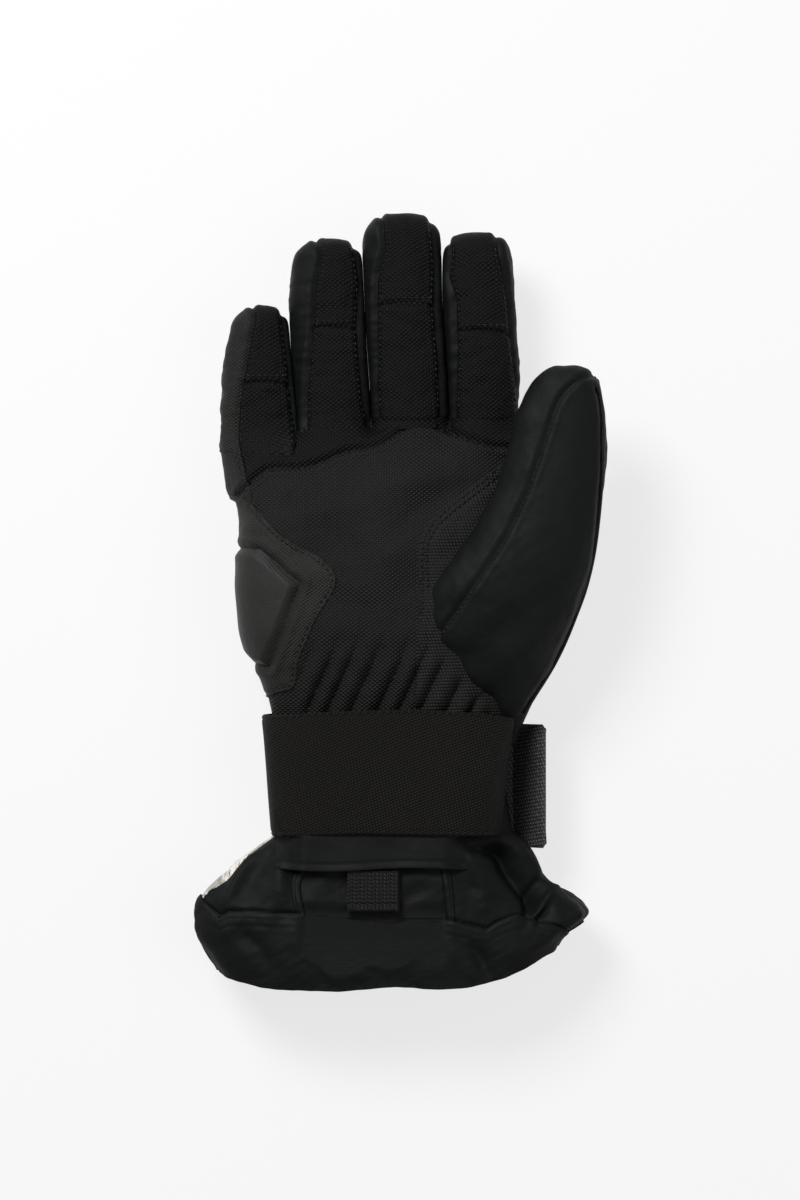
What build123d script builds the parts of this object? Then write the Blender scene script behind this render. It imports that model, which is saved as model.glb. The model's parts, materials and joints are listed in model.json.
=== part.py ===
from build123d import *
from math import atan2, cos, degrees, radians, sin, tan
import os

os.makedirs("parts", exist_ok=True)

# Right-hand ski glove lying on its back: +Y to the fingertips, +X to the thumb side, +Z out of the palm.

# Layers of the wall, from the outside in
shell_thickness = 1.2
insulation_thickness = 3.0
lining_thickness = 1.0
body_gap = 0.4                # room between pieces that move against each other
corner_flats = 3              # flats that a soft edge is made of
sharpest_corner = 1.0
cut_height = 80.0             # higher than anything that a seam divides

# Hand, from the wrist seam to the knuckles
wrist_y = -50.0
wrist_width = 95.0
wrist_depth = 33.0
wrist_rise = 5.0              # the wrist stands off the floor, which leaves room for the strap
wrist_corner = 15.0
wrist_x = -4.8
heel_y = -12.0
heel_width = 111.0
heel_x = -8.5
knuckle_y = 52.0
knuckle_width = 119.0
knuckle_depth = 41.0
knuckle_x = -11.5
root_line_y = 60.0            # the palm's own form ends here, under the finger roots
root_line_depth = 35.0
palm_y = 14.0
palm_width = 115.0
palm_depth = 47.0
palm_x = -9.0
palm_corner = 18.0

# Fingers: place of the cut at the web, width, depth, length and how far each leans to the little-finger side
finger_names = ["little", "ring", "middle", "index"]
finger_x = [-57.5, -27.0, 2.2, 34.2]
finger_y = [62.0, 72.0, 76.0, 76.0]
finger_width = [28.4, 26.0, 29.6, 29.0]
finger_depth = [25.0, 27.0, 28.0, 28.0]
finger_length = [56.0, 72.0, 79.0, 71.0]
finger_lean = [1.5, 3.2, 1.8, 2.9]
finger_cap = [25.0, 36.5, 41.5, 31.0]
finger_z = 19.5
finger_lift = 6.0             # degrees that the fingers rise from the floor
finger_corner = 10.5
fourchette_inset = 4.2        # width of the side walls that turns onto the front and back
root_length = 18.0
root_spread = 4.0
root_depth_spread = 3.0

# Thumb
thumb_x = 49.0
thumb_y = 12.0
thumb_z = 40.0
thumb_width = 56.0
thumb_depth = 40.0
thumb_length = 83.0
thumb_lean = -15.5
thumb_lift = 8.0
thumb_corner = 16.0
thumb_heel_place = (7.2, -10.0, -58.0)   # across, up and along from the thumb's root to the wrist
thumb_heel_width = 25.0
thumb_heel_depth = 24.0
thumb_pivot = (50.0, -22.0)   # the wrist end of the thumb, about which it swings
thumb_pivot_radius = 34.0
bay_floor = 13.0              # height of the hand under the thumb's root
bay_slope = 8.0
thumb_strip_width = 13.0
thumb_side_width = 3.5
piping_radius = 1.2

# Cuff
neck_y = -96.0
neck_width = 86.0
neck_x = -5.2
cuff_slope = 4.0              # degrees that the palm side of the cuff rises towards its mouth
flare_y = -117.0
flare_width = 140.0
flare_x = -8.5
mouth_y = -135.0
mouth_width = 154.0
mouth_x = -4.2
cuff_end_y = -154.6
cuff_corner = 17.0
cuff_end_radius = 24.0
hem_length = 28.0
hem_thickness = 0.8
cuff_thickness = 1.5

# Wrist strap and its closure tab
strap_width = 48.0
strap_thickness = 2.2
strap_ease = 0.4
strap_corner = 10.0
tab_x = 47.2
tab_z = 10.0
tab_top_y = -49.0
tab_width = 50.0
tab_length = 18.0
tab_thickness = 2.4
tab_angle = 50.0
hook_thickness = 1.0
patch_border = 3.0
loop_patch_width = 46.0
loop_patch_thickness = 1.0

# Splint, its pocket and the pull loop
splint_width = 52.0
splint_length = 53.0
splint_thickness = 2.5
splint_x = -10.6
splint_corner = 9.0
groove_width = 3.0
groove_depth = 0.9
groove_count = 3
groove_pitch = 13.0
vent_radius = 2.0
vent_pitch = 14.0
backing_thickness = 1.0
slide_gap = 0.35
pocket_thickness = 1.0
pocket_wall = 2.0
welt_width = 3.0
welt_length = 22.0
loop_width = 20.6
loop_length = 15.0
loop_webbing = 1.0
loop_space = 0.8

# Heel patch and pad, gather elastic
patch_thickness = 0.9
pad_thickness = 2.6
pad_taper = 12.0
pad_tilt = 24.0
pad_reach = 9.0
pad_corner = 2.0
elastic_width = 6.0
elastic_length = 72.0
elastic_start = 12.0
elastic_thickness = 0.8

# Derived levels
wall = shell_thickness + insulation_thickness + lining_thickness
wrist_top = wrist_rise + wrist_depth
layer_depths = [0, shell_thickness, shell_thickness + insulation_thickness, wall]


def cuff_top(y):
    """Height of the cuff's palm side at y."""
    return wrist_top + (wrist_y - y) * tan(radians(cuff_slope))


def across(x, y, z):
    """Plane across the hand, with its normal towards the fingertips."""
    return Plane(origin=(x, y, z), x_dir=(1, 0, 0), z_dir=(0, 1, 0))


def digit_plane(x, y, z, lean, lift):
    """Plane at a digit's root: x across the digit, normal along it."""
    along = (-sin(radians(lean)) * cos(radians(lift)), cos(radians(lean)) * cos(radians(lift)), sin(radians(lift)))
    return Plane(origin=(x, y, z), x_dir=(cos(radians(lean)), sin(radians(lean)), 0), z_dir=along)


def section_outline(plane, width, depth, corner, inset):
    """Points round a section moved inwards by inset, with each round corner cut into flats."""
    radius = max(corner - inset, sharpest_corner)
    reach_x = width / 2 - inset - radius
    reach_y = depth / 2 - inset - radius
    points = []
    for turn, (x_side, y_side) in enumerate([(1, 1), (-1, 1), (-1, -1), (1, -1)]):
        for step in range(corner_flats + 1):
            angle = radians(90 * (turn + step / corner_flats))
            points.append(plane.from_local_coords((x_side * reach_x + radius * cos(angle),
                                                   y_side * reach_y + radius * sin(angle), 0)))
    return points


def soft_loft(sections, inset=0.0):
    """Straight-sided body through sections (plane, width, depth, corner), moved inwards by inset."""
    outlines = [section_outline(*section, inset) for section in sections]
    faces = [Face(Wire.make_polygon(outline)) for outline in (outlines[0], outlines[-1])]
    for lower, upper in zip(outlines, outlines[1:]):
        for i in range(len(lower)):
            faces.append(Face(Wire.make_polygon([lower[i - 1], lower[i], upper[i], upper[i - 1]])))
    return Solid(Shell(faces))


def grown(sections, amount):
    """The same sections, larger by amount all round."""
    return [(plane, width + 2 * amount, depth + 2 * amount, corner + amount)
            for plane, width, depth, corner in sections]


def through(sections, reach=4):
    """The sections with both ends carried past the part, for an opening right through."""
    first, last = sections[0], sections[-1]
    return [(first[0].offset(reach), *first[1:]), *sections, (last[0].offset(-reach), *last[1:])]


def box_on(plane, x_range, y_range, z_range):
    """Block between two x, two y and two z values of a plane."""
    (x_low, x_high), (y_low, y_high), (z_low, z_high) = x_range, y_range, z_range
    with BuildPart() as block:
        with BuildSketch(plane.offset(z_low)):
            with Locations(((x_low + x_high) / 2, (y_low + y_high) / 2)):
                Rectangle(x_high - x_low, y_high - y_low)
        extrude(amount=z_high - z_low)
    return block.part


def centred(size):
    return -size / 2, size / 2


def save(part, name):
    """Label a finished piece and write it under its own name."""
    part.label = name
    export_step(part, f"parts/{name}.step")


# ---- Hand: nested forms of the shell, the insulation and the lining ----

def hand_section(y, x, rise, width, depth, corner):
    return across(x, y, rise + depth / 2), width, depth, corner


hand_sections = [
    hand_section(wrist_y - 2, wrist_x, wrist_rise, wrist_width, wrist_depth, wrist_corner),
    hand_section(wrist_y, wrist_x, wrist_rise, wrist_width, wrist_depth, wrist_corner),
    hand_section(heel_y, heel_x, 0, heel_width, palm_depth, palm_corner),
    hand_section(palm_y, palm_x, 0, palm_width, palm_depth, palm_corner),
    hand_section(knuckle_y, knuckle_x, 0, knuckle_width, knuckle_depth, palm_corner),
    hand_section(root_line_y, knuckle_x, 2, knuckle_width - 4, root_line_depth, wrist_corner),
]
closed_end = hand_sections[-1]
finger_planes = [digit_plane(x, y, finger_z, lean, finger_lift)
                 for x, y, lean in zip(finger_x, finger_y, finger_lean)]
thumb_plane = digit_plane(thumb_x, thumb_y, thumb_z, thumb_lean, thumb_lift)

# Each root runs from inside the palm to just past the cut where its digit starts
finger_root_sections = []
for plane, width, depth in zip(finger_planes, finger_width, finger_depth):
    finger_root_sections.append([
        (plane.offset(-root_length), width + root_spread, depth + root_depth_spread, finger_corner),
        (plane.offset(-root_length / 3), width, depth + root_depth_spread / 2, finger_corner),
        (plane.offset(root_spread), width, depth, finger_corner),
    ])
thumb_heel_plane = Plane(origin=thumb_plane.from_local_coords(thumb_heel_place), x_dir=thumb_plane.x_dir,
                         z_dir=thumb_plane.z_dir)
thumb_root_sections = [
    (thumb_heel_plane, thumb_heel_width, thumb_heel_depth, thumb_corner / 2),
    (thumb_plane.offset(-32), thumb_width * 1.1, thumb_depth, thumb_corner),
    (thumb_plane.offset(-12), thumb_width * 1.08, thumb_depth, thumb_corner),
    (thumb_plane.offset(root_spread), thumb_width, thumb_depth, thumb_corner),
]

bay_plane = Plane(origin=(0, 0, bay_floor), x_dir=(1, 0, 0),
                  z_dir=(0, -sin(radians(bay_slope)), cos(radians(bay_slope))))


def thumb_bay(inset):
    """The room where the thumb lies over the hand, larger by inset; the thumb turns on its round end."""
    with BuildPart() as bay:
        with BuildSketch(bay_plane.offset(-inset)):
            Polygon((11.3, -14), (90, -14), (90, 75), (46, 75), (39, 56), (16.3, 17), align=None)
            offset(amount=inset, kind=Kind.INTERSECTION)
        extrude(amount=cut_height)
        with BuildSketch(Plane.XY.offset(-palm_depth)):
            with Locations(thumb_pivot):
                Circle(thumb_pivot_radius - body_gap / 2)
        extrude(amount=3 * palm_depth, mode=Mode.SUBTRACT)
    return bay.part



def hand_form(inset):
    """The hand with its roots, moved inwards by inset."""
    end = (closed_end[0].offset(-inset), *closed_end[1:])
    with BuildPart() as form:
        for sections in [[*hand_sections[:-1], end], thumb_root_sections]:
            add(soft_loft(sections, inset))
        add(thumb_bay(inset), mode=Mode.SUBTRACT)
        for sections in finger_root_sections:
            add(soft_loft(sections, inset))
    return form.part


hand_outside = hand_form(0)
with BuildPart() as digit_room:
    for plane, width, depth in zip(finger_planes, finger_width, finger_depth):
        with BuildSketch(plane.offset(-body_gap / 2)):
            Rectangle(width + 2, depth + 2)
        extrude(amount=2 * root_spread)
    with BuildSketch(across(0, wrist_y, 0)):
        Rectangle(2 * palm_width, 4 * palm_depth)
    extrude(amount=-2 * root_spread)

with BuildPart() as hand_shell:
    add(hand_outside)
    add(hand_form(shell_thickness), mode=Mode.SUBTRACT)
    add(digit_room.part, mode=Mode.SUBTRACT)


# ---- Hand panels: the shell divided along its seams ----

back_seam_z = 9.0             # seam all round between the back and what faces the palm
side_seam_x = -62.0
far = 150.0

with BuildPart() as back_panel:
    add(hand_shell.part)
    split(bisect_by=Plane.XY.offset(back_seam_z), keep=Keep.BOTTOM)
save(back_panel.part, "back_panel")

with BuildPart() as upper_shell:
    add(hand_shell.part)
    split(bisect_by=Plane.XY.offset(back_seam_z), keep=Keep.TOP)

with BuildPart() as outer_side_panel:
    add(upper_shell.part)
    split(bisect_by=Plane.YZ.offset(side_seam_x), keep=Keep.BOTTOM)
save(outer_side_panel.part, "outer_side_panel")

# Seams in plan: the upper palm's curved seam, the palm's edge at the crotch, and the thumb base
with BuildPart() as upper_palm_region:
    with BuildSketch():
        with BuildLine():
            seam = Spline((side_seam_x, 44), (-38, 50), (6, 57), (45, 58))
            Polyline(seam @ 1, (far, 58), (far, far), (side_seam_x, far), seam @ 0)
        make_face()
    extrude(amount=cut_height)

crotch_low = (8.0, 1.2)
crotch_high = (41.5, 56.0)
with BuildPart() as thumb_base_region:
    with BuildSketch():
        with BuildLine():
            base_seam = Spline((20, 14), crotch_low, (13, -18.4), (33, -39), (50, wrist_y - 1))
            Polyline(base_seam @ 1, (far, wrist_y - 1), (far, 0), (thumb_x, thumb_y + 8), base_seam @ 0)
        make_face()
    extrude(amount=cut_height)

with BuildPart() as crotch_region:
    with BuildSketch():
        Polygon(crotch_low, crotch_high, (crotch_high[0] + 3, 70), (far, 70), (far, -20), align=None)
    extrude(amount=cut_height)

with BuildPart() as thumb_base_panel:
    add(upper_shell.part)
    add(thumb_base_region.part, mode=Mode.INTERSECT)
save(thumb_base_panel.part, "thumb_base_panel")

with BuildPart() as palm_side:
    add(upper_shell.part)
    split(bisect_by=Plane.YZ.offset(side_seam_x), keep=Keep.TOP)
    add(thumb_base_region.part, mode=Mode.SUBTRACT)

with BuildPart() as upper_palm_panel:
    add(palm_side.part)
    add(upper_palm_region.part, mode=Mode.INTERSECT)
save(upper_palm_panel.part, "upper_palm_panel")

with BuildPart() as thumb_crotch_panel:
    add(palm_side.part)
    add(upper_palm_region.part, mode=Mode.SUBTRACT)
    add(crotch_region.part, mode=Mode.INTERSECT)
save(thumb_crotch_panel.part, "thumb_crotch_panel")

with BuildPart() as palm_panel:
    add(palm_side.part)
    add(upper_palm_region.part, mode=Mode.SUBTRACT)
    add(crotch_region.part, mode=Mode.SUBTRACT)
save(palm_panel.part, "palm_panel")


# ---- Heel patch and pad, gather elastic, and the hand's insulation and lining ----

with BuildPart() as heel_patch:
    add(soft_loft(grown(hand_sections[1:5], patch_thickness)))
    add(hand_outside, mode=Mode.SUBTRACT)
    with BuildSketch(Plane.XY.offset(back_seam_z)):
        with BuildLine():
            wave = Spline((-59, 38.5), (-41, 22.5), (-27.5, 14), (-25.5, 7), (-32.5, -6.5), (-40, -23),
                          (-42, -34), (-52, -38.5))
            Polyline(wave @ 1, (-far, -38.5), (-far, 38.5), wave @ 0)
        make_face()
    extrude(amount=cut_height, mode=Mode.INTERSECT)
save(heel_patch.part, "heel_patch")

# The pad is a kite with bevelled sides, seen square to the curved edge of the palm
pad_plane = Plane(origin=(-52, -1, 44), x_dir=(cos(radians(pad_tilt)), 0, sin(radians(pad_tilt))),
                  z_dir=(-sin(radians(pad_tilt)), 0, cos(radians(pad_tilt))))
with BuildPart() as heel_pad:
    add(soft_loft(grown(hand_sections[1:5], patch_thickness + pad_thickness)))
    add(soft_loft(through(grown(hand_sections[1:5], patch_thickness), -8)), mode=Mode.SUBTRACT)
    with BuildSketch(pad_plane.offset(-pad_reach)) as kite:
        Polygon((-3, 22), (-9, 22), (-14, 16), (-14, -15), (-7, -24), (0, -25), (14, 8), align=None)
        chamfer(kite.vertices(), pad_corner)
    extrude(amount=2 * pad_reach, taper=pad_taper, mode=Mode.INTERSECT)
save(heel_pad.part, "heel_pad")

heel_rise = degrees(atan2(palm_depth - wrist_top, heel_y - wrist_y))
gather_plane = Plane(origin=(wrist_x, wrist_y, wrist_top - shell_thickness), x_dir=(1, 0, 0),
                     z_dir=(0, -sin(radians(heel_rise)), cos(radians(heel_rise))))
gather_elastic = box_on(gather_plane, centred(elastic_length), (elastic_start, elastic_start + elastic_width),
                        (-elastic_thickness, 0))
save(gather_elastic, "gather_elastic")

thumb_opening = soft_loft(thumb_root_sections, shell_thickness)
for name, outer_inset, inner_inset in [
    ("hand_insulation", shell_thickness, shell_thickness + insulation_thickness),
    ("hand_lining", shell_thickness + insulation_thickness, wall),
]:
    palm_sections = [*hand_sections[1:-1], (closed_end[0].offset(-shell_thickness), *closed_end[1:])]
    with BuildPart() as hollow:
        add(soft_loft(through(palm_sections, -4), inner_inset))
        add(thumb_bay(inner_inset), mode=Mode.SUBTRACT)
    with BuildPart() as layer:
        add(soft_loft(palm_sections, outer_inset))
        add(thumb_bay(outer_inset), mode=Mode.SUBTRACT)
        add(hollow.part, mode=Mode.SUBTRACT)
        add(thumb_opening, mode=Mode.SUBTRACT)
        add(gather_elastic, mode=Mode.SUBTRACT)
    save(layer.part, name)


# ---- Fingers and thumb: shell panels, insulation and lining ----

# Stations along a digit: share of its length, of its root width and of its root depth
finger_stations = [(-0.05, 1.0, 1.0), (0.55, 0.98, 0.95), (0.87, 0.9, 0.84), (1.0, 0.62, 0.5)]
thumb_stations = [(-0.32, 1.03, 1.0), (0.0, 1.0, 1.0), (0.34, 0.76, 0.86), (0.6, 0.69, 0.78), (0.88, 0.47, 0.62), (1.0, 0.28, 0.36)]
corner_share = 0.38


def digit_sections(plane, stations, width, depth, length, inset=0.0):
    """Sections of one digit, which start behind the cut at its root."""
    sections = []
    for along, width_share, depth_share in stations:
        section_width = width * width_share
        section_depth = depth * depth_share
        corner = corner_share * min(section_width, section_depth)
        sections.append((plane.offset(along * (length - inset)), section_width, section_depth, corner))
    return sections


def digit_layer(shape, root, outer_inset, inner_inset):
    """Hollow layer of a digit between two insets, open where the root is cut away."""
    outer = digit_sections(*shape, outer_inset)
    inner = digit_sections(*shape, inner_inset)
    with BuildPart() as layer:
        add(soft_loft(outer, outer_inset))
        add(soft_loft(inner, inner_inset), mode=Mode.SUBTRACT)
        add(root, mode=Mode.SUBTRACT)
    return layer.part


def between_walls(plane, stations, width, depth, length, left_wall, right_wall):
    """Slab between a digit's side walls, tapered with the digit in plan and longer than it."""
    ends = [(along * (length + 2) - 1, width * width_share / 2) for along, width_share, _ in stations]
    plan = Plane(origin=plane.origin, x_dir=plane.x_dir, z_dir=-plane.y_dir)
    with BuildPart() as slab:
        with BuildSketch(plan):
            Polygon(*[(half - right_wall, along) for along, half in ends],
                    *[(left_wall - half, along) for along, half in reversed(ends)], align=None)
        extrude(amount=depth, both=True)
    return slab.part


def top_and_bottom(part):
    """The palm-side piece and the back piece of a divided shell."""
    pieces = part.solids().sort_by(Axis.Z)
    return pieces[-1], pieces[0]


for name, plane, width, depth, length, cap_start in zip(finger_names, finger_planes, finger_width,
                                                        finger_depth, finger_length, finger_cap):
    shape = (plane, finger_stations, width, depth, length)
    root = box_on(plane, centred(2 * width), centred(2 * depth), (-depth, body_gap / 2))
    finger_shell = digit_layer(shape, root, 0, shell_thickness)
    core = between_walls(*shape, fourchette_inset, fourchette_inset)

    with BuildPart() as walls:
        add(finger_shell)
        add(core, mode=Mode.SUBTRACT)
    left_wall, right_wall = walls.part.solids().sort_by(Axis.X)
    if name == "little":
        save(Part(left_wall.wrapped), "little_outer_panel")
        save(Part(right_wall.wrapped), "little_fourchette")
    else:
        save(walls.part, f"{name}_fourchettes")

    with BuildPart() as between:
        add(finger_shell)
        add(core, mode=Mode.INTERSECT)

    with BuildPart() as tip_cap:
        add(between.part)
        split(bisect_by=plane.offset(cap_start), keep=Keep.TOP)
    save(tip_cap.part, f"{name}_tip_cap")

    with BuildPart() as front_and_back:
        add(between.part)
        split(bisect_by=plane.offset(cap_start), keep=Keep.BOTTOM)
    front, back = top_and_bottom(front_and_back.part)
    save(Part(front.wrapped), f"{name}_front")
    save(Part(back.wrapped), f"{name}_back")

    save(digit_layer(shape, root, *layer_depths[1:3]), f"{name}_insulation")
    save(digit_layer(shape, root, *layer_depths[2:4]), f"{name}_lining")

thumb_shape = (thumb_plane, thumb_stations, thumb_width, thumb_depth, thumb_length)
with BuildPart() as thumb_root:
    with BuildSketch(Plane.XY.offset(-palm_depth)):
        with Locations(thumb_pivot):
            Circle(thumb_pivot_radius + body_gap / 2)
    extrude(amount=3 * palm_depth)
    add(box_on(Plane.XY, (-far, far), (-far, thumb_pivot[1]), (-palm_depth, 2 * palm_depth)))
thumb_shell = digit_layer(thumb_shape, thumb_root.part, 0, shell_thickness)
thumb_core = between_walls(*thumb_shape, thumb_strip_width, thumb_side_width)
thumb_middle = Plane(origin=thumb_plane.origin, x_dir=thumb_plane.x_dir, z_dir=-thumb_plane.y_dir)

with BuildPart() as thumb_between:
    add(thumb_shell)
    add(thumb_core, mode=Mode.INTERSECT)

with BuildPart() as thumb_panel:
    add(thumb_between.part)
    split(bisect_by=thumb_middle, keep=Keep.TOP)
save(thumb_panel.part, "thumb_panel")

with BuildPart() as thumb_back:
    add(thumb_between.part)
    split(bisect_by=thumb_middle, keep=Keep.BOTTOM)
save(thumb_back.part, "thumb_back")

with BuildPart() as thumb_walls:
    add(thumb_shell)
    add(thumb_core, mode=Mode.SUBTRACT)
thumb_strip, thumb_side = thumb_walls.part.solids().sort_by(Axis.X)
save(Part(thumb_strip.wrapped), "thumb_strip")
save(Part(thumb_side.wrapped), "thumb_side_panel")

save(digit_layer(thumb_shape, thumb_root.part, *layer_depths[1:3]), "thumb_insulation")
save(digit_layer(thumb_shape, thumb_root.part, *layer_depths[2:4]), "thumb_lining")

# Piping along the seam between the thumb's wide panel and its side panel
seam_points = []
for section_plane, width, depth, corner in digit_sections(*thumb_shape):
    drop = corner - (corner**2 - max(corner - thumb_side_width, 0)**2) ** 0.5
    seam_points.append(section_plane.from_local_coords((width / 2 - thumb_side_width, drop - depth / 2, 0)))
with BuildPart() as thumb_piping:
    with BuildLine() as piping_line:
        Polyline(*seam_points)
    with BuildSketch(Plane(origin=piping_line.line @ 0, z_dir=piping_line.line % 0)):
        Circle(piping_radius)
    sweep(path=piping_line.line, transition=Transition.RIGHT)
    add(soft_loft(digit_sections(*thumb_shape)), mode=Mode.SUBTRACT)
    add(thumb_root.part, mode=Mode.SUBTRACT)
save(thumb_piping.part, "thumb_piping")


# ---- Cuff ----

def cuff_section(y, x, rise, width, corner):
    return across(x, y, (rise + cuff_top(y)) / 2), width, cuff_top(y) - rise, corner


cuff_sections = [
    cuff_section(wrist_y, wrist_x, wrist_rise, wrist_width, wrist_corner),
    cuff_section(neck_y, neck_x, wrist_rise, neck_width, wrist_corner),
    cuff_section(flare_y, flare_x, hem_thickness + 1, flare_width, cuff_corner),
    cuff_section(mouth_y, mouth_x, hem_thickness, mouth_width, cuff_corner),
    cuff_section(cuff_end_y, mouth_x, hem_thickness, mouth_width, cuff_corner),
]
hem_seam_y = cuff_end_y + hem_length
cuff_seam_z = cuff_top(neck_y) / 2


# Outline in plan: the open edge is straight across the middle and rounded at both sides
with BuildPart() as cuff_outline:
    with BuildSketch() as cuff_plan:
        with Locations((mouth_x, (wrist_y + cuff_end_y) / 2)):
            Rectangle(mouth_width + 1, wrist_y - cuff_end_y)
        fillet(cuff_plan.vertices().group_by(Axis.Y)[0], cuff_end_radius)
    extrude(amount=cut_height)

with BuildPart() as cuff_shell:
    add(soft_loft(cuff_sections))
    add(soft_loft(through(cuff_sections), cuff_thickness), mode=Mode.SUBTRACT)
    add(cuff_outline.part, mode=Mode.INTERSECT)

with BuildPart() as cuff_front:
    add(cuff_shell.part)
    split(bisect_by=Plane.XY.offset(cuff_seam_z), keep=Keep.TOP)
save(cuff_front.part, "cuff_front")

with BuildPart() as cuff_back:
    add(cuff_shell.part)
    split(bisect_by=Plane.XY.offset(cuff_seam_z), keep=Keep.BOTTOM)
save(cuff_back.part, "cuff_back")

with BuildPart() as cuff_lining:
    add(soft_loft(cuff_sections, cuff_thickness))
    add(soft_loft(through(cuff_sections), cuff_thickness + lining_thickness), mode=Mode.SUBTRACT)
    add(cuff_outline.part, mode=Mode.INTERSECT)
save(cuff_lining.part, "cuff_lining")

with BuildPart() as cuff_hem:
    add(soft_loft(grown(cuff_sections[-3:], hem_thickness)))
    add(soft_loft(through(cuff_sections[-3:])), mode=Mode.SUBTRACT)
    add(cuff_outline.part, mode=Mode.INTERSECT)
    split(bisect_by=across(0, hem_seam_y, 0), keep=Keep.BOTTOM)
save(cuff_hem.part, "cuff_hem")


# ---- Splint, its pocket and the pull loop, on the sloping palm side of the wrist ----

slope_plane = Plane(origin=(splint_x, wrist_y, wrist_top), x_dir=(1, 0, 0),
                    z_dir=(0, sin(radians(cuff_slope)), cos(radians(cuff_slope))))
splint_floor = backing_thickness + slide_gap
splint_roof = splint_floor + splint_thickness + slide_gap
pocket_top = splint_roof + pocket_thickness
channel_width = splint_width + 2 * slide_gap
pocket_width = channel_width + 2 * pocket_wall
splint_start = -pocket_wall - slide_gap
splint_end = splint_start - splint_length
pocket_end = splint_end + 1.5



with BuildPart() as pocket_backing:
    add(box_on(slope_plane, centred(pocket_width), (pocket_end, 0), (0, backing_thickness)))
save(pocket_backing.part, "pocket_backing")

with BuildPart() as splint_pocket:
    add(box_on(slope_plane, centred(pocket_width), (pocket_end, 0), (backing_thickness, pocket_top)))
    add(box_on(slope_plane, centred(channel_width), (pocket_end - 1, -pocket_wall), (backing_thickness, splint_roof)),
        mode=Mode.SUBTRACT)
save(splint_pocket.part, "splint_pocket")

# The splint: a stiff plate with rounded corners, three grooves that stiffen it, and vent holes between them
with BuildPart() as splint:
    with BuildSketch(slope_plane.offset(splint_floor)) as splint_outline:
        with Locations((0, (splint_start + splint_end) / 2)):
            Rectangle(splint_width, splint_length)
        fillet(splint_outline.vertices(), splint_corner)
    extrude(amount=splint_thickness)
    with BuildSketch(slope_plane.offset(splint_floor + splint_thickness)):
        with Locations((0, (splint_start + splint_end) / 2)):
            with GridLocations(groove_pitch, 0, groove_count, 1):
                SlotOverall(splint_length - 2 * splint_corner, groove_width, rotation=90)
    extrude(amount=-groove_depth, mode=Mode.SUBTRACT)
    with BuildSketch(slope_plane.offset(splint_floor)):
        with Locations((0, (splint_start + splint_end) / 2)):
            with GridLocations(groove_pitch, vent_pitch, groove_count - 1, 3):
                Circle(vent_radius)
    extrude(amount=splint_thickness, mode=Mode.SUBTRACT)
save(splint.part, "splint")

with BuildPart() as pocket_welts:
    for side in (-1, 1):
        welt_x = side * (pocket_width + welt_width) / 2
        add(box_on(slope_plane, (welt_x - welt_width / 2, welt_x + welt_width / 2),
                   (pocket_end - welt_length, pocket_end), (0, backing_thickness)))
save(pocket_welts.part, "pocket_welts")

# The pull loop: webbing folded back on itself, hinged where it is sewn to the splint's end
loop_depth = 2 * loop_webbing + loop_space
loop_hinge_y = splint_end - body_gap - loop_depth / 2
loop_hinge_z = splint_floor + splint_thickness / 2
loop_end_y = loop_hinge_y - loop_length
side_plane = Plane(origin=slope_plane.from_local_coords((loop_width / 2, 0, 0)), x_dir=slope_plane.y_dir,
                   z_dir=(-1, 0, 0))
with BuildPart() as pull_loop:
    with BuildSketch(side_plane) as loop_profile:
        with Locations((loop_hinge_y - loop_length / 2, -loop_hinge_z)):
            SlotCenterToCenter(loop_length, loop_depth)
            SlotCenterToCenter(loop_length, loop_space, mode=Mode.SUBTRACT)
    extrude(amount=loop_width)
save(pull_loop.part, "pull_loop")
loop_hinge = slope_plane.from_local_coords((0, loop_hinge_y, loop_hinge_z))


# ---- Wrist strap and closure tab ----

strap_top_y = wrist_y + 4
strap_end_y = strap_top_y - strap_width
heel_share = (strap_top_y - wrist_y) / (heel_y - wrist_y)
neck_share = (wrist_y - strap_end_y) / (wrist_y - neck_y)
strap_roof = pocket_top / cos(radians(cuff_slope)) + strap_ease


def strap_section(y, x, width, rise, ease):
    top = cuff_top(y) + strap_roof + ease
    bottom = rise - strap_ease - ease
    return across(x, y, (top + bottom) / 2), width + 2 * (strap_ease + ease), top - bottom, strap_corner + ease


def strap_sections(ease):
    """Sections round the wrist and the pocket, ease outside the strap's inner face."""
    top_width = wrist_width + (heel_width - wrist_width) * heel_share
    end_width = wrist_width + (neck_width - wrist_width) * neck_share
    return [strap_section(strap_top_y, wrist_x, top_width, wrist_rise * (1 - heel_share), ease),
            strap_section(strap_end_y, neck_x, end_width, wrist_rise, ease)]


with BuildPart() as wrist_strap:
    add(soft_loft(strap_sections(strap_thickness)))
    add(soft_loft(through(strap_sections(0))), mode=Mode.SUBTRACT)
save(wrist_strap.part, "wrist_strap")

with BuildPart() as loop_patch:
    add(soft_loft(strap_sections(strap_thickness + loop_patch_thickness)))
    add(soft_loft(through(strap_sections(strap_thickness))), mode=Mode.SUBTRACT)
    add(box_on(Plane.XY, (wrist_x - loop_patch_width / 2, wrist_x + loop_patch_width / 2),
               (strap_end_y + patch_border, strap_top_y - patch_border), (0, wrist_rise)),
        mode=Mode.INTERSECT)
save(loop_patch.part, "loop_patch")

tab_plane = Plane(origin=(tab_x, tab_top_y - tab_width / 2, tab_z), x_dir=(cos(radians(tab_angle)), 0,
                  sin(radians(tab_angle))), z_dir=(-sin(radians(tab_angle)), 0, cos(radians(tab_angle))))
with BuildPart() as closure_tab:
    add(box_on(tab_plane, (0, tab_length), centred(tab_width), centred(tab_thickness)))
    with BuildSketch(Plane(origin=tab_plane.from_local_coords((0, -tab_width / 2, 0)), z_dir=(0, 1, 0))):
        Circle(tab_thickness / 2)
    extrude(amount=tab_width)
    fillet(closure_tab.edges().filter_by(Axis(tab_plane.origin, tab_plane.z_dir)).sort_by(Axis.X)[-2:], patch_border)
save(closure_tab.part, "closure_tab")

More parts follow.
